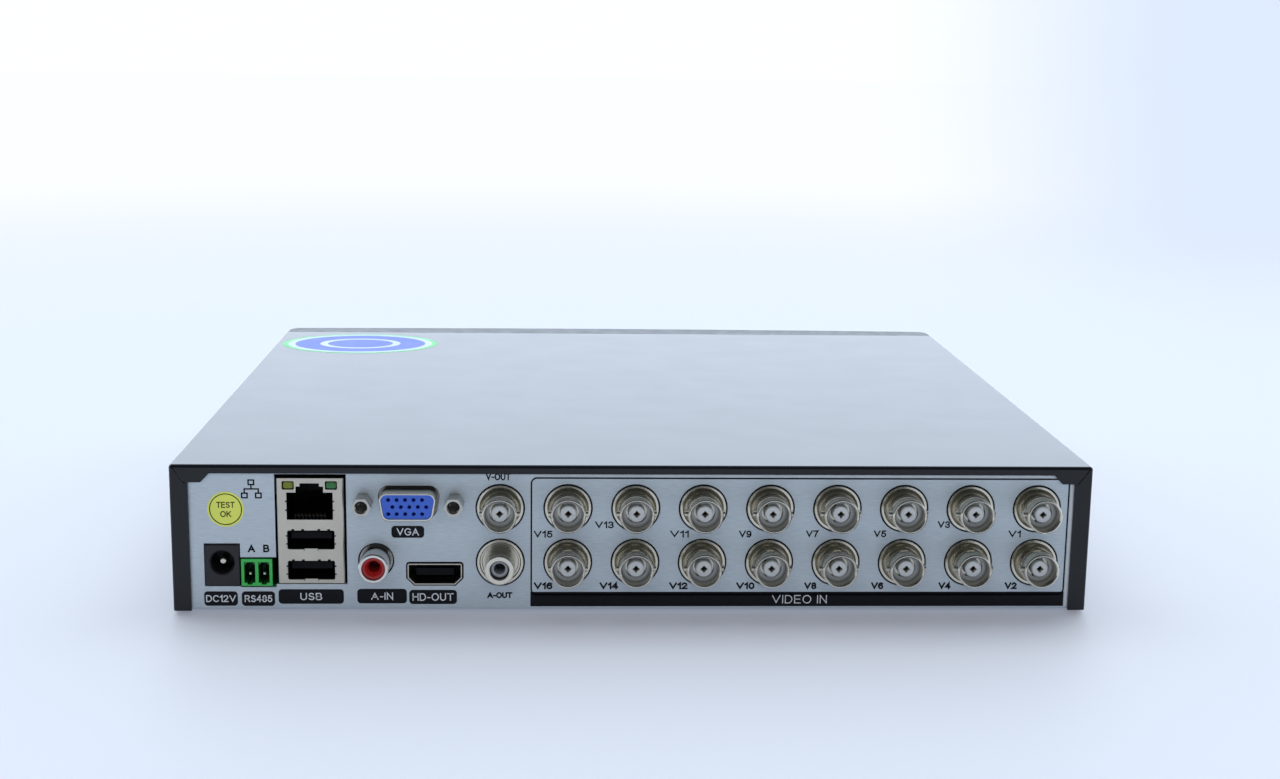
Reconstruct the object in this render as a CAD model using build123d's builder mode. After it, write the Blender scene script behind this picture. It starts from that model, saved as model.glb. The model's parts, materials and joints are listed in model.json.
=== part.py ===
from build123d import *
from math import cos, radians, sin, tan
import os

# A 16-channel desktop video recorder, 255 x 235 x 42.5 mm over its case.
# A folded steel tray carries the electronics, and its rear wall is the connector panel.
# A folded steel cover slides over it, and a moulded bezel closes the front.
#
# Frame: +Z up, the front looks along -Y and the connectors stand out along +Y.
# The origin is in the middle of the footprint, on the surface that the feet rest on.
# Places on the rear panel are (u, v): u runs from the cover's left edge as seen from
# behind, and v runs up from the cover's bottom edge. The third coordinate there is the
# reach, out of the panel's face. All lengths are in millimetres.

# ---------------------------------------------------------------- driving dimensions
WIDTH = 255.0
DEPTH = 235.0
COVER_HEIGHT = 41.5
FOOT_HEIGHT = 1.0
SHEET = 0.8
SLIP = 0.1
OUTER_BEND = 0.9

BNC_REACH = 9.3
BEZEL_DEPTH = 13.0
BEZEL_BOW = 2.5

# ---------------------------------------------------------------- derived places
OVERALL_DEPTH = DEPTH + BNC_REACH - SHEET - SLIP
FRONT_Y = -OVERALL_DEPTH / 2
REAR_Y = FRONT_Y + DEPTH
PANEL_Y = REAR_Y - SHEET - SLIP
PANEL_BACK_Y = PANEL_Y - SHEET
BEZEL_BACK_Y = FRONT_Y + BEZEL_DEPTH
BASE_Z = FOOT_HEIGHT
FLOOR_Z = BASE_Z + SHEET
BOARD_V = 7.0
BOARD_TOP_Z = BASE_Z + BOARD_V
BOARD_THICKNESS = 1.6

ON_TOP = (Align.CENTER, Align.CENTER, Align.MIN)
HANGING = (Align.CENTER, Align.CENTER, Align.MAX)


def rear_plane(reach):
    """The (u, v) plane at this reach out of the panel's face, with its normal outward."""
    return Plane(origin=(WIDTH / 2, PANEL_Y + reach, BASE_Z), x_dir=(-1, 0, 0), z_dir=(0, 1, 0))


def front_plane(y):
    """A plane that faces the front, measured from the case's middle and bottom edge."""
    return Plane(origin=(0, y, BASE_Z), x_dir=(1, 0, 0), z_dir=(0, -1, 0))


def corners(low, high):
    """A rectangle of the sketch in progress, given by two opposite corners."""
    with Locations(((low[0] + high[0]) / 2, (low[1] + high[1]) / 2)):
        Rectangle(high[0] - low[0], high[1] - low[1])


def save(piece, name):
    """Label a finished piece and write its STEP file."""
    piece.part.label = name
    export_step(piece.part, f"parts/{name}.step")


os.makedirs("parts", exist_ok=True)

# ---------------------------------------------------------------- rear panel layout (u, v)
BNC_ROWS = (13.75, 29.3)
BNC_FIRST_U = 108.75
BNC_PITCH = 18.73
BNC_COLUMNS = [BNC_FIRST_U + BNC_PITCH * column for column in range(8)]
VIDEO_OUT = (90.05, BNC_ROWS[1])
AUDIO_OUT = (90.05, BNC_ROWS[0])
AUDIO_IN = (55.8, 14.25)
BNC_JACKS = [VIDEO_OUT] + [(u, v) for u in BNC_COLUMNS for v in BNC_ROWS]

DC_JACK = (13.65, 12.95)
DC_JACK_SIZE = (9.6, 11.9)
DC_HOLE = (13.65, 13.7)
TERMINAL = (23.05, 10.85)
TERMINAL_SIZE = (8.5, 7.7)
LAN_USB = (38.1, 22.8)
LAN_USB_SIZE = (18.3, 29.8)
HDMI = (71.95, 10.4)
VGA = (64.97, 30.95)
JACKSCREW_SPACING = 25.0
JACKSCREWS = [(VGA[0] + side * JACKSCREW_SPACING / 2, VGA[1]) for side in (-1, 1)]
RCA_RADIUS = 4.15
COLLAR_RADIUS = 6.45

# what the panel openings leave free around the parts that stand in them
DC_GAP = (0.3, 0.4)
LAN_USB_GAP = (1.2, 1.5)
LAN_USB_RAISE = 0.3
RCA_GAP = 0.85
COLLAR_GAP = 0.4
VGA_GAP = 0.7
HDMI_GAP = 0.45

# the D-shaped outline of the VGA shell, wide at the top with sides that lean in ten degrees
VGA_WIDTH = 16.3
VGA_HEIGHT = 7.9
VGA_LEAN = VGA_HEIGHT * tan(radians(10))
with BuildSketch() as vga_outline:
    Polygon(
        (-VGA_WIDTH / 2, VGA_HEIGHT / 2),
        (VGA_WIDTH / 2, VGA_HEIGHT / 2),
        (VGA_WIDTH / 2 - VGA_LEAN, -VGA_HEIGHT / 2),
        (-VGA_WIDTH / 2 + VGA_LEAN, -VGA_HEIGHT / 2),
        align=None,
    )
    fillet(vga_outline.vertices(), 2.2)

# the outline of the HDMI shell, a rectangle with its two lower corners cut off
HDMI_WIDTH = 15.0
HDMI_HEIGHT = 6.0
with BuildSketch() as hdmi_outline:
    Rectangle(HDMI_WIDTH, HDMI_HEIGHT)
    chamfer(hdmi_outline.vertices().group_by(Axis.Y)[0], 1.9)
    fillet(hdmi_outline.vertices().group_by(Axis.Y)[-1], 0.5)

# the openings of the stacked LAN and USB socket, shared by its shield and its core
LAN_LOW = (31.65, 26.0)
LAN_HIGH = (44.25, 33.7)
LATCH_STEPS = [((34.2, 33.0), (41.7, 35.4)), ((35.3, 33.0), (40.6, 36.3))]
USB_WIDTH = 12.95
USB_HEIGHT = 5.4
USB_PLACES = [(38.1, 20.25), (38.1, 11.6)]
LED_SIZE = (3.3, 2.4)
LENS_SIZE = (2.7, 1.8)
LED_YELLOW = (32.1, 35.7)
LED_GREEN = (43.85, 35.7)
with BuildSketch() as lan_opening:
    corners(LAN_LOW, LAN_HIGH)
    for low, high in LATCH_STEPS:
        corners(low, high)

# ---------------------------------------------------------------- chassis tray
TRAY_WIDTH = WIDTH - 2 * (SHEET + 2 * SLIP)
TRAY_FRONT_Y = BEZEL_BACK_Y + SLIP
TRAY_LENGTH = PANEL_Y - TRAY_FRONT_Y
TRAY_MID_Y = (PANEL_Y + TRAY_FRONT_Y) / 2
REAR_WALL_HEIGHT = COVER_HEIGHT - SHEET - 0.3
FRONT_WALL_HEIGHT = 38.0
SIDE_WALL_HEIGHT = 13.0
TRAY_BEND = 1.0
CORNER_RELIEF = 3.0
SCREW_RADIUS = 1.45
SCREW_HOLE = 1.55
SIDE_SCREW_Z = BASE_Z + 7.5
SIDE_SCREW_YS = (-72.0, 76.0)
HOOK_XS = (-90.0, -30.0, 30.0, 90.0)
HOOK_V = 3.6
FRONT_WINDOW_V = 23.0
FRONT_WINDOW_PITCH = 41.6
FRONT_WINDOW_SIZE = (22.0, 20.0)
STANDOFFS = [(x, y) for x in (-114.0, 4.0, 114.0) for y in (20.0, 86.0)]
FEET = [(x, y) for x in (-108.0, 108.0) for y in (-92.0, 92.0)]

HDD_LENGTH = 147.0
HDD_WIDTH = 101.6
HDD_HEIGHT = 26.1
HDD_PAD = 2.0
HDD_X = -118.0
HDD_Y = -101.0
HDD_Z = FLOOR_Z + HDD_PAD
HDD_MID = (HDD_X + HDD_LENGTH / 2, HDD_Y + HDD_WIDTH / 2)
HDD_SCREW_SPREAD = 95.2
HDD_SCREWS = [
    (HDD_X + along, HDD_MID[1] + side * HDD_SCREW_SPREAD / 2)
    for along in (61.3, 105.7)
    for side in (-1, 1)
]
PAD_RADIUS = 5.0


def side_planes():
    """The places of the four cover screws, each with its normal out of the side."""
    return [
        Plane(origin=(side * WIDTH / 2, y, SIDE_SCREW_Z), z_dir=(side, 0, 0))
        for side in (-1, 1)
        for y in SIDE_SCREW_YS
    ]


with BuildPart() as chassis_tray:
    with Locations((0, TRAY_MID_Y, BASE_Z)):
        Box(TRAY_WIDTH, TRAY_LENGTH, REAR_WALL_HEIGHT, align=ON_TOP)
    underside = chassis_tray.faces().sort_by(Axis.Z)[0]
    fillet(underside.edges(), TRAY_BEND)
    with Locations((0, TRAY_MID_Y, FLOOR_Z)):
        Box(
            TRAY_WIDTH - 2 * SHEET,
            TRAY_LENGTH - 2 * SHEET,
            COVER_HEIGHT,
            align=ON_TOP,
            mode=Mode.SUBTRACT,
        )
    # the side walls are low, and the front wall stops short of the cover
    with Locations((0, PANEL_BACK_Y, BASE_Z + SIDE_WALL_HEIGHT)):
        Box(
            WIDTH,
            TRAY_LENGTH - 2 * SHEET,
            COVER_HEIGHT,
            align=(Align.CENTER, Align.MAX, Align.MIN),
            mode=Mode.SUBTRACT,
        )
    with Locations((0, TRAY_FRONT_Y, BASE_Z + FRONT_WALL_HEIGHT)):
        Box(WIDTH, 4 * SHEET, COVER_HEIGHT, align=ON_TOP, mode=Mode.SUBTRACT)
    with Locations((0, TRAY_MID_Y, BASE_Z)):
        with GridLocations(TRAY_WIDTH, TRAY_LENGTH, 2, 2):
            Box(2 * CORNER_RELIEF, 2 * CORNER_RELIEF, 2 * CORNER_RELIEF, mode=Mode.SUBTRACT)
    # raised pads with screw holes for the hard drive, pressed up from the floor
    with Locations([(x, y, FLOOR_Z) for x, y in HDD_SCREWS]):
        Cone(PAD_RADIUS + HDD_PAD, PAD_RADIUS, HDD_PAD, align=ON_TOP)
    with Locations([(x, y, BASE_Z) for x, y in HDD_SCREWS]):
        Cone(PAD_RADIUS + 1.4, PAD_RADIUS - 0.6, HDD_PAD, align=ON_TOP, mode=Mode.SUBTRACT)
        Cylinder(1.8, 10, mode=Mode.SUBTRACT)
    with Locations([(x, y, BASE_Z) for x, y in STANDOFFS]):
        Cylinder(SCREW_HOLE, 10, mode=Mode.SUBTRACT)
    # two rows of air slots in the floor under the main board
    with BuildSketch(Plane.XY.offset(FLOOR_Z)):
        with Locations((0, 54)):
            with GridLocations(10.0, 30.0, 10, 2):
                SlotOverall(22.0, 3.0, rotation=90)
    extrude(amount=-2 * SHEET, mode=Mode.SUBTRACT)
    # the cutouts of the connector panel
    with BuildSketch(rear_plane(SHEET)):
        with Locations(DC_JACK):
            Rectangle(DC_JACK_SIZE[0] + DC_GAP[0], DC_JACK_SIZE[1] + DC_GAP[1])
        with Locations((TERMINAL[0] + 0.4, TERMINAL[1])):
            Rectangle(TERMINAL_SIZE[0] + 1.3, TERMINAL_SIZE[1] + 0.9)
        with Locations((LAN_USB[0], LAN_USB[1] + LAN_USB_RAISE)):
            Rectangle(LAN_USB_SIZE[0] + LAN_USB_GAP[0], LAN_USB_SIZE[1] + LAN_USB_GAP[1])
        with Locations(AUDIO_IN):
            Circle(RCA_RADIUS + RCA_GAP)
        with Locations(AUDIO_OUT, *BNC_JACKS):
            Circle(COLLAR_RADIUS + COLLAR_GAP)
        with Locations(*JACKSCREWS):
            Circle(1.7)
        with Locations(VGA):
            add(offset(vga_outline.sketch, amount=VGA_GAP, mode=Mode.PRIVATE))
        with Locations(HDMI):
            add(offset(hdmi_outline.sketch, amount=HDMI_GAP, mode=Mode.PRIVATE))
    extrude(amount=-3 * SHEET, mode=Mode.SUBTRACT)
    # windows in the front wall for air and the ribbon cable, and slots for the bezel hooks
    with BuildSketch(front_plane(TRAY_FRONT_Y)):
        with Locations((0, FRONT_WINDOW_V)):
            with GridLocations(FRONT_WINDOW_PITCH, 1, 6, 1):
                RectangleRounded(*FRONT_WINDOW_SIZE, 2.0)
        with Locations([(x, HOOK_V) for x in HOOK_XS]):
            Rectangle(8.4, 2.4)
    extrude(amount=-2 * SHEET, mode=Mode.SUBTRACT)
    with Locations(*side_planes()):
        Cylinder(SCREW_HOLE, 8, mode=Mode.SUBTRACT)
save(chassis_tray, "chassis_tray")

# ---------------------------------------------------------------- top cover
COVER_LENGTH = REAR_Y - BEZEL_BACK_Y
COVER_MID_Y = (REAR_Y + BEZEL_BACK_Y) / 2
HEAD_RADIUS = 2.5
SIDE_FLANGE = 5.0
TOP_FLANGE_V = 39.1
GUSSET_V = 36.6
GUSSET_IN = 8.5
GUSSET_OUT = 10.9
SLIT_WIDTH = 0.3
SLIT_OUTER = (0.9, 40.8)
SLIT_INNER = (4.3, 36.3)
VENT_SLOTS = 12

with BuildPart() as top_cover:
    with Locations((0, COVER_MID_Y, BASE_Z)):
        Box(WIDTH, COVER_LENGTH, COVER_HEIGHT, align=ON_TOP)
    fillet(top_cover.edges().filter_by(Axis.Y).group_by(Axis.Z)[-1], OUTER_BEND)
    fillet(top_cover.faces().sort_by(Axis.Y)[-1].edges().sort_by(Axis.Z)[1:], OUTER_BEND)
    with Locations((0, REAR_Y - SHEET, BASE_Z)):
        Box(
            WIDTH - 2 * SHEET,
            2 * COVER_LENGTH,
            2 * (COVER_HEIGHT - SHEET),
            align=(Align.CENTER, Align.MAX, Align.CENTER),
            mode=Mode.SUBTRACT,
        )
    # the rear return frames the panel, with a gusset and a mitre slit at each upper corner
    with BuildSketch(rear_plane(SLIP + 2 * SHEET)):
        Polygon(
            (SIDE_FLANGE, -SHEET),
            (SIDE_FLANGE, GUSSET_V),
            (GUSSET_IN, GUSSET_V),
            (GUSSET_OUT, TOP_FLANGE_V),
            (WIDTH - GUSSET_OUT, TOP_FLANGE_V),
            (WIDTH - GUSSET_IN, GUSSET_V),
            (WIDTH - SIDE_FLANGE, GUSSET_V),
            (WIDTH - SIDE_FLANGE, -SHEET),
            align=None,
        )
        with BuildLine() as mitre_line:
            Line(SLIT_OUTER, SLIT_INNER)
        trace(mitre_line.line, line_width=SLIT_WIDTH)
        mirrored_ends = [(WIDTH - SLIT_OUTER[0], SLIT_OUTER[1]), (WIDTH - SLIT_INNER[0], SLIT_INNER[1])]
        with BuildLine() as other_mitre_line:
            Line(*mirrored_ends)
        trace(other_mitre_line.line, line_width=SLIT_WIDTH)
    extrude(amount=-3 * SHEET, mode=Mode.SUBTRACT)
    # vent slots towards the front of both sides
    with BuildSketch(Plane.YZ.offset(-WIDTH / 2)):
        with Locations((-20.0, BASE_Z + 26.0)):
            with GridLocations(8.0, 1, VENT_SLOTS, 1):
                SlotOverall(16.0, 2.6, rotation=90)
    extrude(amount=WIDTH, mode=Mode.SUBTRACT)
    with Locations(*side_planes()):
        CounterSinkHole(SCREW_HOLE, HEAD_RADIUS, depth=4, counter_sink_angle=90)
save(top_cover, "top_cover")

with BuildPart() as side_screw:
    with Locations((0, 0, -(HEAD_RADIUS - SCREW_RADIUS))):
        Cone(SCREW_RADIUS, HEAD_RADIUS, HEAD_RADIUS - SCREW_RADIUS, align=ON_TOP)
    with BuildSketch():
        Circle(SCREW_RADIUS)
    extrude(amount=-6)
    with BuildSketch():
        Rectangle(3.2, 0.7)
        Rectangle(0.7, 3.2)
    extrude(amount=-1.0, mode=Mode.SUBTRACT)

with BuildPart() as cover_screws:
    with Locations(*side_planes()):
        add(side_screw.part)
save(cover_screws, "cover_screws")

with BuildPart() as rubber_feet:
    with Locations([(x, y, 0) for x, y in FEET]):
        Cylinder(6.0, FOOT_HEIGHT, align=ON_TOP)
    fillet(rubber_feet.edges().group_by(Axis.Z)[0], 0.4)
save(rubber_feet, "rubber_feet")

# ---------------------------------------------------------------- front bezel
BEZEL_WALL = 2.0
BEZEL_CORNER = 5.0
WINDOW_X = -42.0
WINDOW_SIZE = (118.0, 17.0)
WINDOW_V = 21.0
WINDOW_RECESS = 0.3
WINDOW_THICKNESS = 1.5
BUTTON_V = 21.0
POWER_X = 112.0
POWER_RADIUS = 4.5
KEY_SIZE = (12.0, 6.0)
KEY_XS = {"menu_button": 60.0, "up_button": 77.0, "down_button": 94.0}
BUTTON_GAP = 0.3
BOARD_FACE_Y = FRONT_Y + 10.2


def bezel_front_y(x):
    """Where the bowed front of the bezel lies at this x."""
    return FRONT_Y + BEZEL_BOW * (2 * x / WIDTH) ** 2


with BuildSketch() as bezel_plan:
    with BuildLine():
        ThreePointArc(
            (-WIDTH / 2, FRONT_Y + BEZEL_BOW), (0, FRONT_Y), (WIDTH / 2, FRONT_Y + BEZEL_BOW)
        )
        Polyline(
            (WIDTH / 2, FRONT_Y + BEZEL_BOW),
            (WIDTH / 2, BEZEL_BACK_Y),
            (-WIDTH / 2, BEZEL_BACK_Y),
            (-WIDTH / 2, FRONT_Y + BEZEL_BOW),
        )
    make_face()
    fillet(bezel_plan.vertices().group_by(Axis.Y)[0], BEZEL_CORNER)

with BuildPart() as front_bezel:
    with BuildSketch(Plane.XY.offset(BASE_Z)):
        add(bezel_plan.sketch)
    extrude(amount=COVER_HEIGHT)
    rim = front_bezel.faces().group_by(Axis.Z)[0].edges() + front_bezel.faces().group_by(Axis.Z)[-1].edges()
    fillet([edge for edge in rim if edge.center().Y < BEZEL_BACK_Y - 0.1], 1.0)
    with BuildSketch(Plane.XY.offset(BASE_Z + BEZEL_WALL)):
        offset(bezel_plan.sketch, amount=-BEZEL_WALL)
        with Locations((0, BEZEL_BACK_Y)):
            Rectangle(WIDTH - 2 * BEZEL_WALL, 2 * BEZEL_WALL)
    extrude(amount=COVER_HEIGHT - 2 * BEZEL_WALL, mode=Mode.SUBTRACT)
    # the window opening, the button holes and the bosses that the front board is screwed to
    with BuildSketch(front_plane(FRONT_Y)):
        with Locations((WINDOW_X, WINDOW_V)):
            RectangleRounded(WINDOW_SIZE[0], WINDOW_SIZE[1], 3.0)
        with Locations((POWER_X, BUTTON_V)):
            Circle(POWER_RADIUS + BUTTON_GAP)
        with Locations([(x, BUTTON_V) for x in KEY_XS.values()]):
            RectangleRounded(KEY_SIZE[0] + 2 * BUTTON_GAP, KEY_SIZE[1] + 2 * BUTTON_GAP, 2.0)
    extrude(amount=-8, mode=Mode.SUBTRACT)
    # hooks at the foot of the bezel go through the tray's front wall
    with Locations([(x, BEZEL_BACK_Y - 3, BASE_Z + HOOK_V) for x in HOOK_XS]):
        Box(8.0, 5.5, 2.0, align=(Align.CENTER, Align.MIN, Align.CENTER))
    with Locations([(x, BEZEL_BACK_Y - 3, BASE_Z + BEZEL_WALL) for x in HOOK_XS]):
        Box(8.0, 3.0, HOOK_V - BEZEL_WALL, align=(Align.CENTER, Align.MIN, Align.MIN))
save(front_bezel, "front_bezel")

# the smoked window fills its opening and follows the bow of the bezel
with BuildPart() as front_window:
    with BuildSketch(Plane.XY.offset(BASE_Z)):
        offset(bezel_plan.sketch, amount=-WINDOW_RECESS)
        offset(bezel_plan.sketch, amount=-WINDOW_RECESS - WINDOW_THICKNESS, mode=Mode.SUBTRACT)
    extrude(amount=COVER_HEIGHT)
    with BuildSketch(front_plane(FRONT_Y)):
        with Locations((WINDOW_X, WINDOW_V)):
            RectangleRounded(WINDOW_SIZE[0], WINDOW_SIZE[1], 3.0)
    extrude(amount=-8, mode=Mode.INTERSECT)
save(front_window, "front_window")

# ---------------------------------------------------------------- buttons and front board
BUTTON_PROUD = 0.5
FLANGE_EDGE = 1.0
FLANGE_DEPTH = 4.4
STEM_RADIUS = 1.5
SWITCH_SIZE = 6.0
SWITCH_HEIGHT = 3.0
SWITCH_BORE = 1.8
SWITCH_FACE_Y = BOARD_FACE_Y - SWITCH_HEIGHT
FRONT_BOARD_X = 6.0
FRONT_BOARD_SIZE = (226.0, 24.0)
LED_XS = (-92.0, -84.0, -76.0)
IR_X = 6.0
BUTTON_XS = {"power_button": POWER_X} | KEY_XS

# each button is a cap, a flange that keeps it in the bezel, and a stem into its switch
for button_name, button_x in BUTTON_XS.items():
    cap_face_y = bezel_front_y(button_x) - BUTTON_PROUD
    flange_y = FRONT_Y + FLANGE_DEPTH
    with BuildPart() as button:
        for edge, near_y, far_y in ((0.0, cap_face_y, flange_y), (FLANGE_EDGE, flange_y, flange_y + 0.8)):
            with BuildSketch(front_plane(far_y)):
                with Locations((button_x, BUTTON_V)):
                    if button_name == "power_button":
                        Circle(POWER_RADIUS + edge)
                    else:
                        RectangleRounded(KEY_SIZE[0] + 2 * edge, KEY_SIZE[1] + 2 * edge, 1.7)
            extrude(amount=far_y - near_y)
        fillet(button.faces().sort_by(Axis.Y)[0].edges(), 0.5)
        with BuildSketch(front_plane(SWITCH_FACE_Y + 1.0)):
            with Locations((button_x, BUTTON_V)):
                Circle(STEM_RADIUS)
        extrude(amount=SWITCH_FACE_Y + 1.0 - flange_y - 0.4)
    save(button, button_name)

with BuildPart() as front_board:
    with BuildSketch(front_plane(BOARD_FACE_Y)):
        with Locations((FRONT_BOARD_X, BUTTON_V)):
            RectangleRounded(FRONT_BOARD_SIZE[0], FRONT_BOARD_SIZE[1], 1.0)
            with GridLocations(FRONT_BOARD_SIZE[0] - 8, FRONT_BOARD_SIZE[1] - 8, 2, 2):
                Circle(1.6, mode=Mode.SUBTRACT)
    extrude(amount=-BOARD_THICKNESS)
save(front_board, "front_board")

with BuildPart() as tact_switches:
    with BuildSketch(front_plane(BOARD_FACE_Y)):
        with Locations([(x, BUTTON_V) for x in BUTTON_XS.values()]):
            RectangleRounded(SWITCH_SIZE, SWITCH_SIZE, 0.6)
    extrude(amount=SWITCH_HEIGHT)
    with BuildSketch(front_plane(SWITCH_FACE_Y)):
        with Locations([(x, BUTTON_V) for x in BUTTON_XS.values()]):
            Circle(SWITCH_BORE)
    extrude(amount=-2.2, mode=Mode.SUBTRACT)
save(tact_switches, "tact_switches")

with BuildPart(front_plane(BOARD_FACE_Y)) as front_leds:
    with Locations([(x, BUTTON_V, 0) for x in LED_XS]):
        Cylinder(1.9, 1.0, align=ON_TOP)
        Cylinder(1.5, 4.0, align=ON_TOP)
    fillet(front_leds.faces().group_by(Axis.Y)[0].edges(), 1.2)
save(front_leds, "front_leds")

with BuildPart(front_plane(BOARD_FACE_Y)) as ir_receiver:
    with Locations((IR_X, BUTTON_V, 0)):
        Box(6.0, 7.0, 2.6, align=ON_TOP)
    with Locations((IR_X, BUTTON_V + 0.5, 2.6)):
        Sphere(2.2)
    with Locations((IR_X, BUTTON_V, 0)):
        Box(12.0, 12.0, 6.0, align=HANGING, mode=Mode.SUBTRACT)
save(ir_receiver, "ir_receiver")

# ---------------------------------------------------------------- main board and its parts
MAIN_BOARD_WIDTH = 240.0
MAIN_BOARD_FRONT_Y = 14.0
MAIN_BOARD_BACK_Y = PANEL_BACK_Y - 0.4
MAIN_BOARD_MID_Y = (MAIN_BOARD_FRONT_Y + MAIN_BOARD_BACK_Y) / 2
STANDOFF_HEIGHT = BOARD_TOP_Z - BOARD_THICKNESS - FLOOR_Z
SOC = (44.0, 58.0)
SOC_SIZE = 27.0
SOC_HEIGHT = 2.0
HEATSINK_SIZE = 42.0
HEATSINK_BASE = 3.0
HEATSINK_HEIGHT = 11.0
HEATSINK_Z = BOARD_TOP_Z + SOC_HEIGHT
FAN_SIZE = 40.0
FAN_HEIGHT = 10.0
FAN_HOLE_SPACING = 32.0
FAN_Z = HEATSINK_Z + HEATSINK_HEIGHT
FAN_BORE = 19.0
FAN_BLADES = 7
ROTOR_RADIUS = 18.2
HUB_RADIUS = 10.0
FAN_SHAFT = 1.0
FAN_FIT = 0.05

with BuildPart() as main_board:
    with BuildSketch(Plane.XY.offset(BOARD_TOP_Z)):
        with Locations((0, MAIN_BOARD_MID_Y)):
            RectangleRounded(MAIN_BOARD_WIDTH, MAIN_BOARD_BACK_Y - MAIN_BOARD_FRONT_Y, 2.0)
        with Locations(*STANDOFFS):
            Circle(SCREW_HOLE, mode=Mode.SUBTRACT)
    extrude(amount=-BOARD_THICKNESS)
save(main_board, "main_board")

with BuildPart() as board_standoffs:
    with BuildSketch(Plane.XY.offset(FLOOR_Z)):
        with Locations(*STANDOFFS):
            RegularPolygon(3.2, 6)
            Circle(SCREW_HOLE, mode=Mode.SUBTRACT)
    extrude(amount=STANDOFF_HEIGHT)
save(board_standoffs, "board_standoffs")

with BuildPart() as pan_screw:
    Cylinder(2.75, 1.6, align=ON_TOP)
    fillet(pan_screw.edges().group_by(Axis.Z)[-1], 0.7)
    Cylinder(SCREW_RADIUS, 5.5, align=HANGING)
    with BuildSketch(Plane.XY.offset(1.6)):
        Rectangle(3.0, 0.6)
        Rectangle(0.6, 3.0)
    extrude(amount=-0.9, mode=Mode.SUBTRACT)

with BuildPart() as board_screws:
    with Locations([(x, y, BOARD_TOP_Z) for x, y in STANDOFFS]):
        add(pan_screw.part)
save(board_screws, "board_screws")

with BuildPart() as soc_chip:
    with Locations((*SOC, BOARD_TOP_Z)):
        Box(SOC_SIZE, SOC_SIZE, SOC_HEIGHT, align=ON_TOP)
    chamfer(soc_chip.edges().group_by(Axis.Z)[-1], 0.4)
save(soc_chip, "soc_chip")

with BuildPart() as soc_heatsink:
    with Locations((*SOC, HEATSINK_Z)):
        Box(HEATSINK_SIZE, HEATSINK_SIZE, HEATSINK_BASE, align=ON_TOP)
        with GridLocations(4.2, 1, 10, 1):
            Box(1.2, HEATSINK_SIZE, HEATSINK_HEIGHT, align=ON_TOP)
save(soc_heatsink, "soc_heatsink")

# a 40 mm fan: the frame holds a shaft on four spokes, and the rotor turns on it
with BuildPart() as fan_frame:
    with BuildSketch(Plane.XY.offset(FAN_Z)):
        with Locations(SOC):
            RectangleRounded(FAN_SIZE, FAN_SIZE, 3.0)
            Circle(FAN_BORE, mode=Mode.SUBTRACT)
            with GridLocations(FAN_HOLE_SPACING, FAN_HOLE_SPACING, 2, 2):
                Circle(SCREW_HOLE, mode=Mode.SUBTRACT)
    extrude(amount=FAN_HEIGHT)
    with BuildSketch(Plane.XY.offset(FAN_Z)):
        with Locations(SOC):
            Circle(HUB_RADIUS)
            Rectangle(2 * FAN_BORE + 1, 2.0, rotation=30)
            Rectangle(2 * FAN_BORE + 1, 2.0, rotation=120)
    extrude(amount=1.6)
    with Locations((*SOC, FAN_Z)):
        Cylinder(FAN_SHAFT, FAN_HEIGHT - 1.0, align=ON_TOP)
save(fan_frame, "fan_frame")

with BuildPart() as fan_rotor:
    with Locations((*SOC, FAN_Z + 2.2)):
        Cylinder(HUB_RADIUS, FAN_HEIGHT - 2.6, align=ON_TOP)
    fillet(fan_rotor.edges().group_by(Axis.Z)[-1], 0.8)
    with Locations((*SOC, FAN_Z + 2.4)):
        with PolarLocations((HUB_RADIUS + ROTOR_RADIUS) / 2, FAN_BLADES):
            with Locations(Rot(50, 0, 0)):
                Box(ROTOR_RADIUS - HUB_RADIUS + 1, 8.0, 0.9, align=ON_TOP)
    with BuildSketch(Plane.XY.offset(FAN_Z + 2.0)):
        with Locations(SOC):
            Circle(ROTOR_RADIUS)
    extrude(amount=FAN_HEIGHT - 2.4, mode=Mode.INTERSECT)
    with Locations((*SOC, FAN_Z)):
        Cylinder(FAN_SHAFT + FAN_FIT, FAN_HEIGHT - 0.9, align=ON_TOP, mode=Mode.SUBTRACT)
save(fan_rotor, "fan_rotor")

with BuildPart() as fan_screws:
    with Locations((*SOC, FAN_Z + FAN_HEIGHT)):
        with GridLocations(FAN_HOLE_SPACING, FAN_HOLE_SPACING, 2, 2):
            Cylinder(SCREW_RADIUS, FAN_HEIGHT, align=HANGING)
            Cylinder(2.6, 1.2, align=ON_TOP)
save(fan_screws, "fan_screws")

with BuildPart() as memory_chips:
    with Locations((2.0, 58.0, BOARD_TOP_Z)):
        with GridLocations(1, 19.0, 1, 2):
            Box(11.0, 13.0, 1.1, align=ON_TOP)
    chamfer(memory_chips.edges().group_by(Axis.Z)[-1], 0.3)
save(memory_chips, "memory_chips")

with BuildPart() as video_decoder_chips:
    with Locations((-58.0, 74.0, BOARD_TOP_Z)):
        with GridLocations(30.0, 1, 4, 1):
            Box(14.0, 14.0, 1.4, align=ON_TOP)
    chamfer(video_decoder_chips.edges().group_by(Axis.Z)[-1], 0.3)
save(video_decoder_chips, "video_decoder_chips")

CAPACITORS = [(96.0, 74.0), (96.0, 62.0), (108.0, 62.0), (80.0, 74.0)]
with BuildPart() as capacitors:
    with Locations([(x, y, BOARD_TOP_Z) for x, y in CAPACITORS]):
        Cylinder(4.0, 11.5, align=ON_TOP)
    fillet(capacitors.edges().group_by(Axis.Z)[-1], 0.6)
save(capacitors, "capacitors")

COIN_CELL = (-88.0, 38.0)
with BuildPart() as coin_cell_holder:
    with Locations((*COIN_CELL, BOARD_TOP_Z)):
        Cylinder(11.5, 4.0, align=ON_TOP)
        Box(9.0, 26.0, 2.6, align=ON_TOP)
    with Locations((*COIN_CELL, BOARD_TOP_Z + 1.0)):
        Cylinder(10.1, 5.0, align=ON_TOP, mode=Mode.SUBTRACT)
save(coin_cell_holder, "coin_cell_holder")

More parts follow.
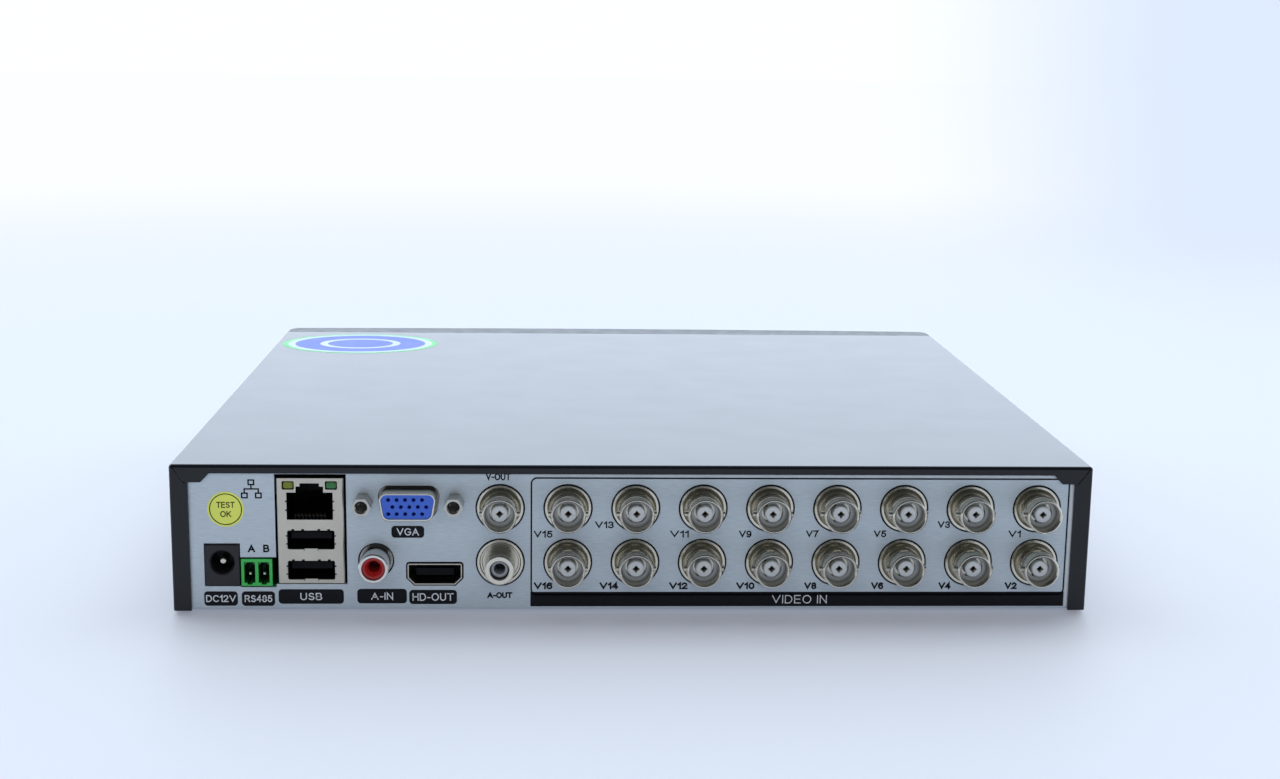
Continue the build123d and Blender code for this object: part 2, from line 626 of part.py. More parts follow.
with BuildPart() as coin_cell:
    with Locations((*COIN_CELL, BOARD_TOP_Z + 1.0)):
        Cylinder(10.0, 3.2, align=ON_TOP)
    fillet(coin_cell.edges().group_by(Axis.Z)[-1], 0.5)
save(coin_cell, "coin_cell")

SOCKETS_Y = 24.0
SATA_X = 86.0
POWER_CABLE_X = 72.0
RIBBON_X = 104.0
SOCKET_HEIGHT = 8.0
with BuildPart() as sata_socket:
    with Locations((SATA_X, SOCKETS_Y, BOARD_TOP_Z)):
        Box(6.0, 17.0, SOCKET_HEIGHT, align=ON_TOP)
save(sata_socket, "sata_socket")

with BuildPart() as power_header:
    with Locations((POWER_CABLE_X, SOCKETS_Y, BOARD_TOP_Z)):
        Box(6.0, 11.0, SOCKET_HEIGHT, align=ON_TOP)
    with Locations((RIBBON_X, SOCKETS_Y, BOARD_TOP_Z)):
        Box(15.0, 5.0, SOCKET_HEIGHT, align=ON_TOP)
save(power_header, "power_header")

# ---------------------------------------------------------------- hard drive
WELL_RADIUS = 49.0
DISC_RADIUS = 47.5
SPINDLE_PLACE = (HDD_X + 52.0, HDD_MID[1])
PIVOT_PLACE = (HDD_X + 108.0, HDD_Y + 32.0)
CAVITY_LOW = (HDD_X + 85.0, HDD_Y + 4.0)
CAVITY_HIGH = (HDD_X + 143.0, HDD_Y + 97.6)
CASE_FLOOR = 7.5
CASE_HEIGHT = 24.6
DISC_BOTTOMS = (12.0, 18.0)
DISC_THICKNESS = 1.3
HUB_OUTER = 12.5
SPINDLE_SHAFT = 2.0
PIVOT_SHAFT = 3.0
SHAFT_TOP = 23.0
DRIVE_FIT = 0.05
ARM_LENGTH = 48.0
ARM_ANGLE = 106.9
ARM_LEVELS = (10.0, 15.2, 20.4)
ARM_THICKNESS = 1.0
COIL_REACH = 24.0
HDD_HEAD = 1.5

with BuildPart() as hdd_case:
    with Locations((*HDD_MID, HDD_Z)):
        Box(HDD_LENGTH, HDD_WIDTH, CASE_HEIGHT, align=ON_TOP)
    fillet(hdd_case.edges().filter_by(Axis.Z), 2.5)
    with BuildSketch(Plane.XY.offset(HDD_Z + CASE_FLOOR)):
        with Locations(SPINDLE_PLACE):
            Circle(WELL_RADIUS)
        corners(CAVITY_LOW, CAVITY_HIGH)
    extrude(amount=CASE_HEIGHT, mode=Mode.SUBTRACT)
    # the underside is hollow where the drive's own board sits between the side rails
    with Locations((*HDD_MID, HDD_Z)):
        Box(HDD_LENGTH - 20, HDD_WIDTH - 24, 3.6, align=ON_TOP, mode=Mode.SUBTRACT)
    with Locations((*SPINDLE_PLACE, HDD_Z + CASE_FLOOR)):
        Cylinder(SPINDLE_SHAFT, SHAFT_TOP - CASE_FLOOR, align=ON_TOP)
    with Locations((*PIVOT_PLACE, HDD_Z + CASE_FLOOR)):
        Cylinder(PIVOT_SHAFT, SHAFT_TOP - CASE_FLOOR, align=ON_TOP)
    with Locations([(x, y, HDD_Z) for x, y in HDD_SCREWS]):
        Cylinder(SCREW_HOLE, 12, mode=Mode.SUBTRACT)
save(hdd_case, "hdd_case")

with BuildPart() as hdd_cover:
    with Locations((*HDD_MID, HDD_Z + CASE_HEIGHT)):
        Box(HDD_LENGTH - 4, HDD_WIDTH - 2, HDD_HEIGHT - CASE_HEIGHT, align=ON_TOP)
    fillet(hdd_cover.edges().filter_by(Axis.Z), 4.0)
    with BuildSketch(Plane.XY.offset(HDD_Z + HDD_HEIGHT)):
        with Locations(SPINDLE_PLACE):
            Circle(44.0)
            Circle(41.0, mode=Mode.SUBTRACT)
    extrude(amount=-0.5, mode=Mode.SUBTRACT)
save(hdd_cover, "hdd_cover")

with BuildPart() as hdd_board:
    with Locations((*HDD_MID, HDD_Z + 3.6)):
        Box(HDD_LENGTH - 22, HDD_WIDTH - 26, 1.2, align=HANGING)
    with Locations((HDD_MID[0] + 20, HDD_MID[1], HDD_Z + 2.4)):
        Box(14.0, 14.0, 1.2, align=HANGING)
save(hdd_board, "hdd_board")

with BuildPart() as hdd_spindle:
    with Locations((*SPINDLE_PLACE, HDD_Z + CASE_FLOOR + 0.5)):
        Cylinder(HUB_OUTER, 14.0, align=ON_TOP)
    with Locations((*SPINDLE_PLACE, HDD_Z + DISC_BOTTOMS[1] + DISC_THICKNESS)):
        Cylinder(HUB_OUTER + 3, 1.6, align=ON_TOP)
    with Locations((*SPINDLE_PLACE, HDD_Z)):
        Cylinder(SPINDLE_SHAFT + DRIVE_FIT, CASE_HEIGHT, align=ON_TOP, mode=Mode.SUBTRACT)
    with Locations((*SPINDLE_PLACE, HDD_Z + CASE_FLOOR + 14.5)):
        with PolarLocations(9.0, 6):
            Hole(1.2, depth=2)
save(hdd_spindle, "hdd_spindle")

with BuildPart() as hdd_platters:
    with Locations([(*SPINDLE_PLACE, HDD_Z + bottom) for bottom in DISC_BOTTOMS]):
        Cylinder(DISC_RADIUS, DISC_THICKNESS, align=ON_TOP)
        Cylinder(HUB_OUTER, DISC_THICKNESS, align=ON_TOP, mode=Mode.SUBTRACT)
save(hdd_platters, "hdd_platters")

# three arms reach over and between the discs; the coil sits on the far side of the pivot
with BuildPart() as hdd_actuator:
    arm_plane = Plane(
        origin=(*PIVOT_PLACE, HDD_Z + ARM_LEVELS[0]),
        x_dir=(cos(radians(ARM_ANGLE)), sin(radians(ARM_ANGLE)), 0),
        z_dir=(0, 0, 1),
    )
    with BuildSketch(arm_plane):
        Circle(7.5)
    extrude(amount=ARM_LEVELS[-1] + ARM_THICKNESS - ARM_LEVELS[0])
    for level in ARM_LEVELS:
        with BuildSketch(arm_plane.offset(level - ARM_LEVELS[0])):
            Polygon((0, -6.0), (ARM_LENGTH, -1.8), (ARM_LENGTH, 1.8), (0, 6.0), align=None)
        extrude(amount=ARM_THICKNESS)
    with BuildSketch(arm_plane.offset(ARM_LEVELS[1] - ARM_LEVELS[0] - 1)):
        Polygon(
            (0, -6.0), (-COIL_REACH + 4, -10.0), (-COIL_REACH + 4, 10.0), (0, 6.0), align=None
        )
    extrude(amount=3.0)
    with BuildSketch(arm_plane):
        Circle(PIVOT_SHAFT + DRIVE_FIT)
    extrude(amount=CASE_HEIGHT, mode=Mode.SUBTRACT)
save(hdd_actuator, "hdd_actuator")

with BuildPart() as hdd_screws:
    with Locations([(x, y, HDD_Z - SHEET) for x, y in HDD_SCREWS]):
        Cylinder(2.8, HDD_HEAD, align=HANGING)
        Cylinder(SCREW_RADIUS, 5.5, align=ON_TOP)
    fillet(hdd_screws.edges().group_by(Axis.Z)[0], 0.3)
save(hdd_screws, "hdd_screws")

# ---------------------------------------------------------------- cables inside the case
SATA_Y = HDD_Y + 18.0
POWER_Y = HDD_Y + 44.0
PLUG_DEPTH = 12.0
PLUG_Z = HDD_Z + 5.0
HDD_END_X = HDD_X + HDD_LENGTH
ROUND_CABLE = 2.2
SOCKET_TOP_Z = BOARD_TOP_Z + SOCKET_HEIGHT
CABLE_CREST_Z = SOCKET_TOP_Z + 20.0


def inner_cable(plug_y, socket_x, plug_size, socket_plug):
    """A round cable from a plug on the drive's end over to a plug on a board socket."""
    plug_end_x = HDD_END_X + PLUG_DEPTH
    with BuildPart() as cable:
        with BuildLine() as route:
            FilletPolyline(
                (plug_end_x, plug_y, PLUG_Z),
                (socket_x, plug_y, PLUG_Z),
                (socket_x, HDD_Y + 80, PLUG_Z),
                (socket_x, 2.0, CABLE_CREST_Z),
                (socket_x, SOCKETS_Y, CABLE_CREST_Z),
                (socket_x, SOCKETS_Y, SOCKET_TOP_Z + PLUG_DEPTH / 2),
                radius=9.0,
            )
        with BuildSketch(Plane(origin=(plug_end_x, plug_y, PLUG_Z), z_dir=(1, 0, 0))):
            Circle(ROUND_CABLE)
        sweep(path=route.line)
        with Locations((HDD_END_X, plug_y, PLUG_Z)):
            Box(PLUG_DEPTH, *plug_size, align=(Align.MIN, Align.CENTER, Align.CENTER))
        with Locations((socket_x, SOCKETS_Y, SOCKET_TOP_Z)):
            Box(*socket_plug, PLUG_DEPTH / 2, align=ON_TOP)
    return cable


sata_cable = inner_cable(SATA_Y, SATA_X, (14.0, 5.0), (5.0, 14.0))
save(sata_cable, "sata_cable")
hdd_power_cable = inner_cable(POWER_Y, POWER_CABLE_X, (22.0, 5.0), (5.0, 10.0))
save(hdd_power_cable, "hdd_power_cable")

RIBBON_THICKNESS = 1.0
RIBBON_WIDTH = 13.0
RIBBON_START_Y = BOARD_FACE_Y + BOARD_THICKNESS
RIBBON_Z = BASE_Z + BUTTON_V + 4.0
with BuildPart() as front_ribbon_cable:
    with BuildLine() as ribbon_route:
        FilletPolyline(
            (RIBBON_X, RIBBON_START_Y + 4, RIBBON_Z),
            (RIBBON_X, -70.0, RIBBON_Z),
            (RIBBON_X, -40.0, FLOOR_Z + 8),
            (RIBBON_X, -4.0, FLOOR_Z + 8),
            (RIBBON_X, 8.0, CABLE_CREST_Z),
            (RIBBON_X, SOCKETS_Y, CABLE_CREST_Z),
            (RIBBON_X, SOCKETS_Y, SOCKET_TOP_Z + 4),
            radius=5.0,
        )
    with BuildSketch(
        Plane(origin=(RIBBON_X, RIBBON_START_Y + 4, RIBBON_Z), x_dir=(1, 0, 0), z_dir=(0, 1, 0))
    ):
        Rectangle(RIBBON_WIDTH, RIBBON_THICKNESS)
    sweep(path=ribbon_route.line)
    with Locations((RIBBON_X, RIBBON_START_Y, RIBBON_Z)):
        Box(15.0, 4.0, 5.0, align=(Align.CENTER, Align.MIN, Align.CENTER))
    with Locations((RIBBON_X, SOCKETS_Y, SOCKET_TOP_Z)):
        Box(15.0, 5.0, 4.0, align=ON_TOP)
save(front_ribbon_cable, "front_ribbon_cable")

# ---------------------------------------------------------------- power jack and terminal block
DC_REACH = 0.3
DC_DEPTH = 14.0
DC_HOLE_RADIUS = 3.2
DC_HOLE_DEPTH = 9.5
DC_PIN_RADIUS = 1.0
with BuildPart(rear_plane(DC_REACH)) as dc_jack_body:
    with Locations((*DC_JACK, 0)):
        Box(*DC_JACK_SIZE, DC_DEPTH, align=HANGING)
    fillet(dc_jack_body.faces().sort_by(Axis.Y)[-1].edges(), 0.4)
    with Locations((*DC_HOLE, 0)):
        Cylinder(DC_HOLE_RADIUS, DC_HOLE_DEPTH, align=HANGING, mode=Mode.SUBTRACT)
    chamfer(dc_jack_body.faces().sort_by(Axis.Y)[-1].inner_wires()[0].edges(), 0.4)
save(dc_jack_body, "dc_jack_body")

with BuildPart(rear_plane(DC_REACH - DC_HOLE_DEPTH)) as dc_jack_pin:
    with Locations((*DC_HOLE, 0)):
        Cylinder(DC_PIN_RADIUS, DC_HOLE_DEPTH - 1.5, align=ON_TOP)
    fillet(dc_jack_pin.edges().group_by(Axis.Y)[-1], 0.5)
save(dc_jack_pin, "dc_jack_pin")

TERMINAL_REACH = 0.3
TERMINAL_DEPTH = 12.0
CELL_SIZE = (3.0, 5.9)
CELL_US = (TERMINAL[0] - 1.95, TERMINAL[0] + 1.95)
CELL_DEPTH = 8.0
KEY_RIB = (0.5, 0.7)
RIB_RECESS = 0.5
with BuildPart(rear_plane(TERMINAL_REACH)) as terminal_block:
    with Locations((*TERMINAL, 0)):
        Box(*TERMINAL_SIZE, TERMINAL_DEPTH, align=HANGING)
    with Locations([(u, TERMINAL[1], 0) for u in CELL_US]):
        Box(*CELL_SIZE, CELL_DEPTH, align=HANGING, mode=Mode.SUBTRACT)
    with Locations([(u, TERMINAL[1] - CELL_SIZE[1] / 2, 0) for u in CELL_US]):
        Box(1.4, 1.0, CELL_DEPTH, align=HANGING, mode=Mode.SUBTRACT)
    # keying ribs stand in the upper corners of each cell
    with Locations([(u, TERMINAL[1] + (CELL_SIZE[1] - KEY_RIB[1]) / 2, -RIB_RECESS) for u in CELL_US]):
        with GridLocations(CELL_SIZE[0] - KEY_RIB[0], 1, 2, 1):
            Box(*KEY_RIB, CELL_DEPTH - RIB_RECESS, align=HANGING)
save(terminal_block, "terminal_block")

with BuildPart(rear_plane(TERMINAL_REACH - CELL_DEPTH)) as terminal_pins:
    with Locations([(u, TERMINAL[1] - 0.6, 0) for u in CELL_US]):
        Box(1.0, 1.0, CELL_DEPTH - 1.0, align=ON_TOP)
    chamfer(terminal_pins.edges().group_by(Axis.Y)[-1], 0.25)
save(terminal_pins, "terminal_pins")

# ---------------------------------------------------------------- stacked LAN and USB socket
SHIELD_REACH = 0.6
SHIELD_DEPTH = 22.0
SHIELD_SHEET = 0.4
USB_TONGUE = (11.1, 1.9)
USB_TONGUE_RISE = 0.9
USB_DEPTH = 10.0
USB_RECESS = 1.5
LAN_DEPTH = 13.0
CORE_SIZE = (LAN_USB_SIZE[0] - 2 * SHIELD_SHEET, LAN_USB_SIZE[1] - 2 * SHIELD_SHEET)
NOTCH = 0.4
LAN_NOTCH_VS = (28.7, 31.2)
SPRING_US = (-4.9, -2.2, 2.2, 4.9)
SPRING_VS = (-1.15, 1.15)
TAB_WIDTH = 3.6
TAB_HEIGHT = 0.65
with BuildPart(rear_plane(SHIELD_REACH)) as lan_usb_shield:
    with Locations((*LAN_USB, 0)):
        Box(*LAN_USB_SIZE, SHIELD_DEPTH, align=HANGING)
    fillet(lan_usb_shield.edges().filter_by(Axis.Z), 0.6)
    with Locations((*LAN_USB, -SHIELD_SHEET)):
        Box(*CORE_SIZE, SHIELD_DEPTH - 2 * SHIELD_SHEET, align=HANGING, mode=Mode.SUBTRACT)
    with BuildSketch(rear_plane(SHIELD_REACH)):
        add(lan_opening.sketch)
        with Locations([((LAN_LOW[0] + LAN_HIGH[0]) / 2, v) for v in LAN_NOTCH_VS]):
            Rectangle(LAN_HIGH[0] - LAN_LOW[0] + 2 * NOTCH, NOTCH)
        with Locations(*USB_PLACES):
            RectangleRounded(USB_WIDTH, USB_HEIGHT, 0.5)
            # the springs leave notches at the top and sides, and a tab stands in the lower edge
            with Locations([(u, USB_HEIGHT / 2) for u in SPRING_US]):
                Rectangle(2 * NOTCH, 2 * NOTCH)
            with Locations([(0, v) for v in SPRING_VS]):
                Rectangle(USB_WIDTH + 2 * NOTCH, NOTCH)
            with Locations((0, -USB_HEIGHT / 2)):
                Rectangle(TAB_WIDTH + NOTCH, 2 * NOTCH)
            with Locations((0, -USB_HEIGHT / 2 - NOTCH)):
                Rectangle(TAB_WIDTH, 2 * TAB_HEIGHT, mode=Mode.SUBTRACT)
        with Locations(LED_YELLOW, LED_GREEN):
            RectangleRounded(*LED_SIZE, 0.4)
    extrude(amount=-SHIELD_SHEET, mode=Mode.SUBTRACT)
    # four legs stand on the board
    with Locations((*LAN_USB, -SHIELD_DEPTH / 2)):
        with GridLocations(LAN_USB_SIZE[0] - SHIELD_SHEET, 1, 2, 1):
            with Locations((0, -LAN_USB_SIZE[1] / 2, 0)):
                Box(SHIELD_SHEET, 2 * (LAN_USB[1] - LAN_USB_SIZE[1] / 2 - BOARD_V), 6.0)
save(lan_usb_shield, "lan_usb_shield")

with BuildPart(rear_plane(SHIELD_REACH - SHIELD_SHEET)) as lan_usb_core:
    with Locations((*LAN_USB, 0)):
        Box(*CORE_SIZE, SHIELD_DEPTH - 2 * SHIELD_SHEET, align=HANGING)
    with BuildSketch(rear_plane(SHIELD_REACH - SHIELD_SHEET)):
        add(lan_opening.sketch)
    extrude(amount=-LAN_DEPTH, mode=Mode.SUBTRACT)
    with BuildSketch(rear_plane(SHIELD_REACH - SHIELD_SHEET)):
        with Locations(*USB_PLACES):
            Rectangle(USB_WIDTH - 0.4, USB_HEIGHT - 0.4)
        with Locations([(u, v + USB_TONGUE_RISE) for u, v in USB_PLACES]):
            Rectangle(*USB_TONGUE, mode=Mode.SUBTRACT)
    extrude(amount=-USB_DEPTH, mode=Mode.SUBTRACT)
    with BuildSketch(rear_plane(SHIELD_REACH - SHIELD_SHEET)):
        with Locations(*USB_PLACES):
            Rectangle(USB_WIDTH - 0.4, USB_HEIGHT - 0.4)
    extrude(amount=-USB_RECESS, mode=Mode.SUBTRACT)
    with BuildSketch(rear_plane(SHIELD_REACH - SHIELD_SHEET)):
        with Locations(LED_YELLOW, LED_GREEN):
            Rectangle(*LED_SIZE)
    extrude(amount=-2.0, mode=Mode.SUBTRACT)
save(lan_usb_core, "lan_usb_core")


def lan_led(place):
    """A lens that stands in its recess in the core, with a dark gap round it."""
    with BuildPart(rear_plane(SHIELD_REACH - 0.1)) as led:
        with Locations((*place, 0)):
            Box(*LENS_SIZE, 2.0 + SHIELD_SHEET - 0.1, align=HANGING)
        fillet(led.edges().filter_by(Axis.Y), 0.5)
        fillet(led.faces().sort_by(Axis.Y)[-1].edges(), 0.2)
    return led


lan_led_yellow = lan_led(LED_YELLOW)
save(lan_led_yellow, "lan_led_yellow")
lan_led_green = lan_led(LED_GREEN)
save(lan_led_green, "lan_led_green")

# ---------------------------------------------------------------- VGA socket
VGA_REACH = 5.9
VGA_WALL = 0.5
VGA_FACE = 5.6
VGA_BRACKET = (31.0, 12.0)
VGA_BODY_DEPTH = 16.0
VGA_PITCH = 2.29
VGA_ROW = 1.98
VGA_HOLE = 0.55
VGA_SHIFT = 0.57
JACKSCREW_REACH = 6.5
JACKSCREW_HEX = 4.7
JACKSCREW_THREAD = 1.4
with BuildPart(rear_plane(0)) as vga_shell:
    with BuildSketch(rear_plane(-SHEET)):
        with Locations(VGA):
            add(vga_outline.sketch)
    extrude(amount=SHEET + VGA_REACH)
    fillet(vga_shell.faces().sort_by(Axis.Y)[-1].edges(), 0.3)
    with BuildSketch(rear_plane(-SHEET)):
        with Locations(VGA):
            Rectangle(*VGA_BRACKET)
        with Locations(*JACKSCREWS):
            Circle(1.6, mode=Mode.SUBTRACT)
    extrude(amount=-SHEET)
    with BuildSketch(rear_plane(VGA_REACH)):
        with Locations(VGA):
            add(offset(vga_outline.sketch, amount=-VGA_WALL, mode=Mode.PRIVATE))
    extrude(amount=-VGA_REACH - 2 * SHEET, mode=Mode.SUBTRACT)
save(vga_shell, "vga_shell")

with BuildPart(rear_plane(0)) as vga_insert:
    with BuildSketch(rear_plane(-2 * SHEET)):
        with Locations(VGA):
            add(offset(vga_outline.sketch, amount=-VGA_WALL - 0.05, mode=Mode.PRIVATE))
    extrude(amount=2 * SHEET + VGA_FACE)
    with Locations((*VGA, -2 * SHEET)):
        Box(19.0, 11.0, VGA_BODY_DEPTH, align=HANGING)
    # a foot behind the sockets below carries it on the board
    foot_height = VGA[1] - BOARD_V
    with Locations((VGA[0], BOARD_V + foot_height / 2, -2 * SHEET - VGA_BODY_DEPTH)):
        Box(19.0, foot_height, 2.0, align=ON_TOP)
    with BuildSketch(rear_plane(VGA_FACE)):
        for row in (-1, 0, 1):
            with Locations((VGA[0] + VGA_SHIFT * (1 - 2 * abs(row)), VGA[1] - row * VGA_ROW)):
                with GridLocations(VGA_PITCH, 1, 5, 1):
                    Circle(VGA_HOLE)
    extrude(amount=-5.0, mode=Mode.SUBTRACT)
save(vga_insert, "vga_insert")

with BuildPart(rear_plane(0)) as vga_jackscrews:
    with BuildSketch(rear_plane(0)):
        with Locations(*JACKSCREWS):
            RegularPolygon(JACKSCREW_HEX / 2, 6, major_radius=False)
    extrude(amount=JACKSCREW_REACH)
    with Locations([(*place, 0) for place in JACKSCREWS]):
        Cylinder(1.5, 5.0, align=HANGING)
    with Locations([(*place, JACKSCREW_REACH) for place in JACKSCREWS]):
        Cylinder(JACKSCREW_THREAD, 6.0, align=HANGING, mode=Mode.SUBTRACT)
        Cone(JACKSCREW_THREAD, JACKSCREW_THREAD + 0.4, 0.4, align=HANGING, mode=Mode.SUBTRACT)
save(vga_jackscrews, "vga_jackscrews")

# ---------------------------------------------------------------- HDMI socket
HDMI_REACH = 0.4
HDMI_DEPTH = 12.0
HDMI_SHEET = 0.3
HDMI_TONGUE = (10.4, 2.0)
HDMI_RECESS = 1.6
HDMI_BACK = 4.0
with BuildPart(rear_plane(0)) as hdmi_shell:
    with BuildSketch(rear_plane(HDMI_REACH)):
        with Locations(HDMI):
            add(hdmi_outline.sketch)
            add(offset(hdmi_outline.sketch, amount=-HDMI_SHEET, mode=Mode.PRIVATE), mode=Mode.SUBTRACT)
    extrude(amount=-HDMI_DEPTH)
    hdmi_foot = HDMI[1] - HDMI_HEIGHT / 2 - BOARD_V
    with Locations((HDMI[0], BOARD_V + hdmi_foot / 2, -HDMI_DEPTH / 2)):
        with GridLocations(HDMI_WIDTH - 5, 1, 2, 1):
            Box(2.0, hdmi_foot, 5.0)
save(hdmi_shell, "hdmi_shell")

with BuildPart(rear_plane(0)) as hdmi_tongue:
    with BuildSketch(rear_plane(HDMI_REACH - HDMI_DEPTH)):
        with Locations(HDMI):
            add(offset(hdmi_outline.sketch, amount=-HDMI_SHEET - 0.02, mode=Mode.PRIVATE))
    extrude(amount=HDMI_BACK)
    with Locations((HDMI[0], HDMI[1] + 0.3, HDMI_REACH - HDMI_RECESS)):
        Box(*HDMI_TONGUE, HDMI_DEPTH - HDMI_RECESS - 1, align=HANGING)
save(hdmi_tongue, "hdmi_tongue")

# ---------------------------------------------------------------- coaxial and audio jacks
# every jack is turned about its own axis; its height is the reach out of the panel's face
BNC_RIM = 4.8
BNC_BARREL = 4.65
BNC_NECK = 4.5
BNC_BORE = 4.1
BNC_FLOOR = 3.8
RIDGE_RADIUS = 4.95
RIDGE_HEIGHT = (4.2, 4.9)
LUG_RADIUS = 0.9
LUG_SPAN = 11.0
LUG_HEIGHT = 5.8
INSULATOR_RADIUS = 2.3
INSULATOR_TIP = 6.7
INSULATOR_FLANGE = 1.0
FLANGE_SLOT = (2.35, 2.95)
FLANGE_BRIDGE = 2.4
CONTACT_RADIUS = 0.75
CONTACT_BORE = 0.45
CONTACT_SLOT = (1.9, 0.5)
CONTACT_RECESS = 1.4
COLLAR_RIM = 0.2
COLLAR_INNER = 5.75
COLLAR_DISH = -0.5
DISH_MIDDLE = (5.2, -0.33)

with BuildPart() as bnc_jack:
    with BuildSketch(Plane.XZ):
        with BuildLine():
            Polyline(
                (COLLAR_INNER, COLLAR_RIM),
                (COLLAR_RADIUS - 0.15, COLLAR_RIM),
                (COLLAR_RADIUS, COLLAR_RIM - 0.15),
                (COLLAR_RADIUS, -SHEET),
                (0, -SHEET),
                (0, BNC_REACH),
                (BNC_RIM - 0.3, BNC_REACH),
                (BNC_RIM, BNC_REACH - 0.3),
                (BNC_RIM, BNC_REACH - 0.9),
                (BNC_BARREL, BNC_REACH - 1.1),
                (BNC_BARREL, RIDGE_HEIGHT[1] + 0.1),
                (RIDGE_RADIUS, RIDGE_HEIGHT[1] - 0.15),
                (RIDGE_RADIUS, RIDGE_HEIGHT[0] + 0.15),
                (BNC_NECK, RIDGE_HEIGHT[0]),
                (BNC_NECK, COLLAR_DISH),
            )
            ThreePointArc((BNC_NECK, COLLAR_DISH), DISH_MIDDLE, (COLLAR_INNER, COLLAR_RIM))
        make_face()
    revolve(axis=Axis.Z)
    with Locations(Location((0, 0, LUG_HEIGHT), (0, 90, 0))):
        Cylinder(LUG_RADIUS, LUG_SPAN)
    with BuildSketch(Plane.XZ):
        Polygon(
            (0, BNC_REACH),
            (BNC_BORE + 0.25, BNC_REACH),
            (BNC_BORE, BNC_REACH - 0.25),
            (BNC_BORE, BNC_FLOOR),
            (INSULATOR_RADIUS, BNC_FLOOR),
            (INSULATOR_RADIUS, -SHEET),
            (0, -SHEET),
            align=None,
        )
    revolve(axis=Axis.Z, mode=Mode.SUBTRACT)

# the insulator has a flange on the floor of the bore, with a curved slot on each side
with BuildPart() as bnc_core:
    with BuildSketch(Plane.XZ):
        Polygon(
            (0, -SHEET),
            (INSULATOR_RADIUS, -SHEET),
            (INSULATOR_RADIUS, BNC_FLOOR),
            (BNC_BORE, BNC_FLOOR),
            (BNC_BORE, BNC_FLOOR + INSULATOR_FLANGE),
            (INSULATOR_RADIUS, BNC_FLOOR + INSULATOR_FLANGE),
            (INSULATOR_RADIUS, INSULATOR_TIP - 0.25),
            (INSULATOR_RADIUS - 0.25, INSULATOR_TIP),
            (0, INSULATOR_TIP),
            align=None,
        )
    revolve(axis=Axis.Z)
    with BuildSketch(Plane.XY.offset(BNC_FLOOR)):
        Circle(FLANGE_SLOT[1])
        Circle(FLANGE_SLOT[0], mode=Mode.SUBTRACT)
        Rectangle(FLANGE_BRIDGE, 2 * BNC_BORE, mode=Mode.SUBTRACT)
    extrude(amount=INSULATOR_FLANGE, mode=Mode.SUBTRACT)
    with BuildSketch(Plane.XY.offset(-SHEET)):
        Circle(CONTACT_RADIUS)
    extrude(amount=SHEET + INSULATOR_TIP, mode=Mode.SUBTRACT)
    with BuildSketch(Plane.XY.offset(INSULATOR_TIP)):
        Rectangle(*CONTACT_SLOT)
        Rectangle(*reversed(CONTACT_SLOT))
    extrude(amount=-CONTACT_RECESS, mode=Mode.SUBTRACT)

with BuildPart() as bnc_contact:
    with Locations((0, 0, -SHEET)):
        Cylinder(CONTACT_RADIUS, SHEET + INSULATOR_TIP - CONTACT_RECESS, align=ON_TOP)
    with Locations((0, 0, INSULATOR_TIP - CONTACT_RECESS)):
        Cylinder(CONTACT_BORE, 4.0, align=HANGING, mode=Mode.SUBTRACT)


def at_jacks(template, places):
    """Copies of a turned piece, one at each place on the panel."""
    with BuildPart(rear_plane(0)) as group:
        with Locations([(*place, 0) for place in places]):
            add(template.part)
    return group


bnc_shells = at_jacks(bnc_jack, BNC_JACKS)
save(bnc_shells, "bnc_shells")
bnc_insulators = at_jacks(bnc_core, BNC_JACKS)
save(bnc_insulators, "bnc_insulators")
bnc_contacts = at_jacks(bnc_contact, BNC_JACKS)
save(bnc_contacts, "bnc_contacts")

# double housings stand on the board behind each column of jacks
HOUSING_SIZE = (14.6, 30.8)
HOUSING_DEPTH = 13.0
HOUSING_CENTRES = [VIDEO_OUT[0], *BNC_COLUMNS]
with BuildPart(rear_plane(-SHEET)) as bnc_housings:
    with Locations([(u, BOARD_V + HOUSING_SIZE[1] / 2, 0) for u in HOUSING_CENTRES]):
        Box(*HOUSING_SIZE, HOUSING_DEPTH, align=HANGING)
    with Locations((AUDIO_IN[0], (BOARD_V + AUDIO_IN[1] + 5) / 2, 0)):
        Box(10.0, AUDIO_IN[1] + 5 - BOARD_V, HOUSING_DEPTH, align=HANGING)
    chamfer(bnc_housings.faces().group_by(Axis.Y)[0].edges(), 0.6)
save(bnc_housings, "bnc_housings")

RCA_BORE = 3.25
RCA_SHOULDER = 0.45
RCA_SEAT = -0.5
RCA_HOLE = 1.6
RCA_IN_REACH = 8.5
RCA_IN_FACE = 7.8
RCA_IN_MOUTH = 2.4
RCA_OUT_REACH = 8.3
RCA_OUT_MOUTH = 2.6
RCA_OUT_FACE = 6.8
STEP_HEIGHT = -0.15
with BuildPart() as rca_in_jack:
    with BuildSketch(Plane.XZ):
        Polygon(
            (RCA_BORE, -SHEET),
            (RCA_RADIUS + RCA_SHOULDER, -SHEET),
            (RCA_RADIUS + RCA_SHOULDER, RCA_SEAT),
            (RCA_RADIUS, RCA_SEAT),
            (RCA_RADIUS, RCA_IN_REACH - 0.3),
            (RCA_RADIUS - 0.3, RCA_IN_REACH),
            (RCA_BORE, RCA_IN_REACH),
            align=None,
        )
    revolve(axis=Axis.Z)

# the red insulator fills its shell and narrows to the centre hole
with BuildPart() as rca_in_core:
    with BuildSketch(Plane.XZ):
        Polygon(
            (0, -SHEET),
            (RCA_BORE, -SHEET),
            (RCA_BORE, RCA_IN_FACE),
            (RCA_IN_MOUTH, RCA_IN_FACE),
            (RCA_HOLE, RCA_IN_FACE - 1.6),
            (RCA_HOLE, 0),
            (0, 0),
            align=None,
        )
    revolve(axis=Axis.Z)

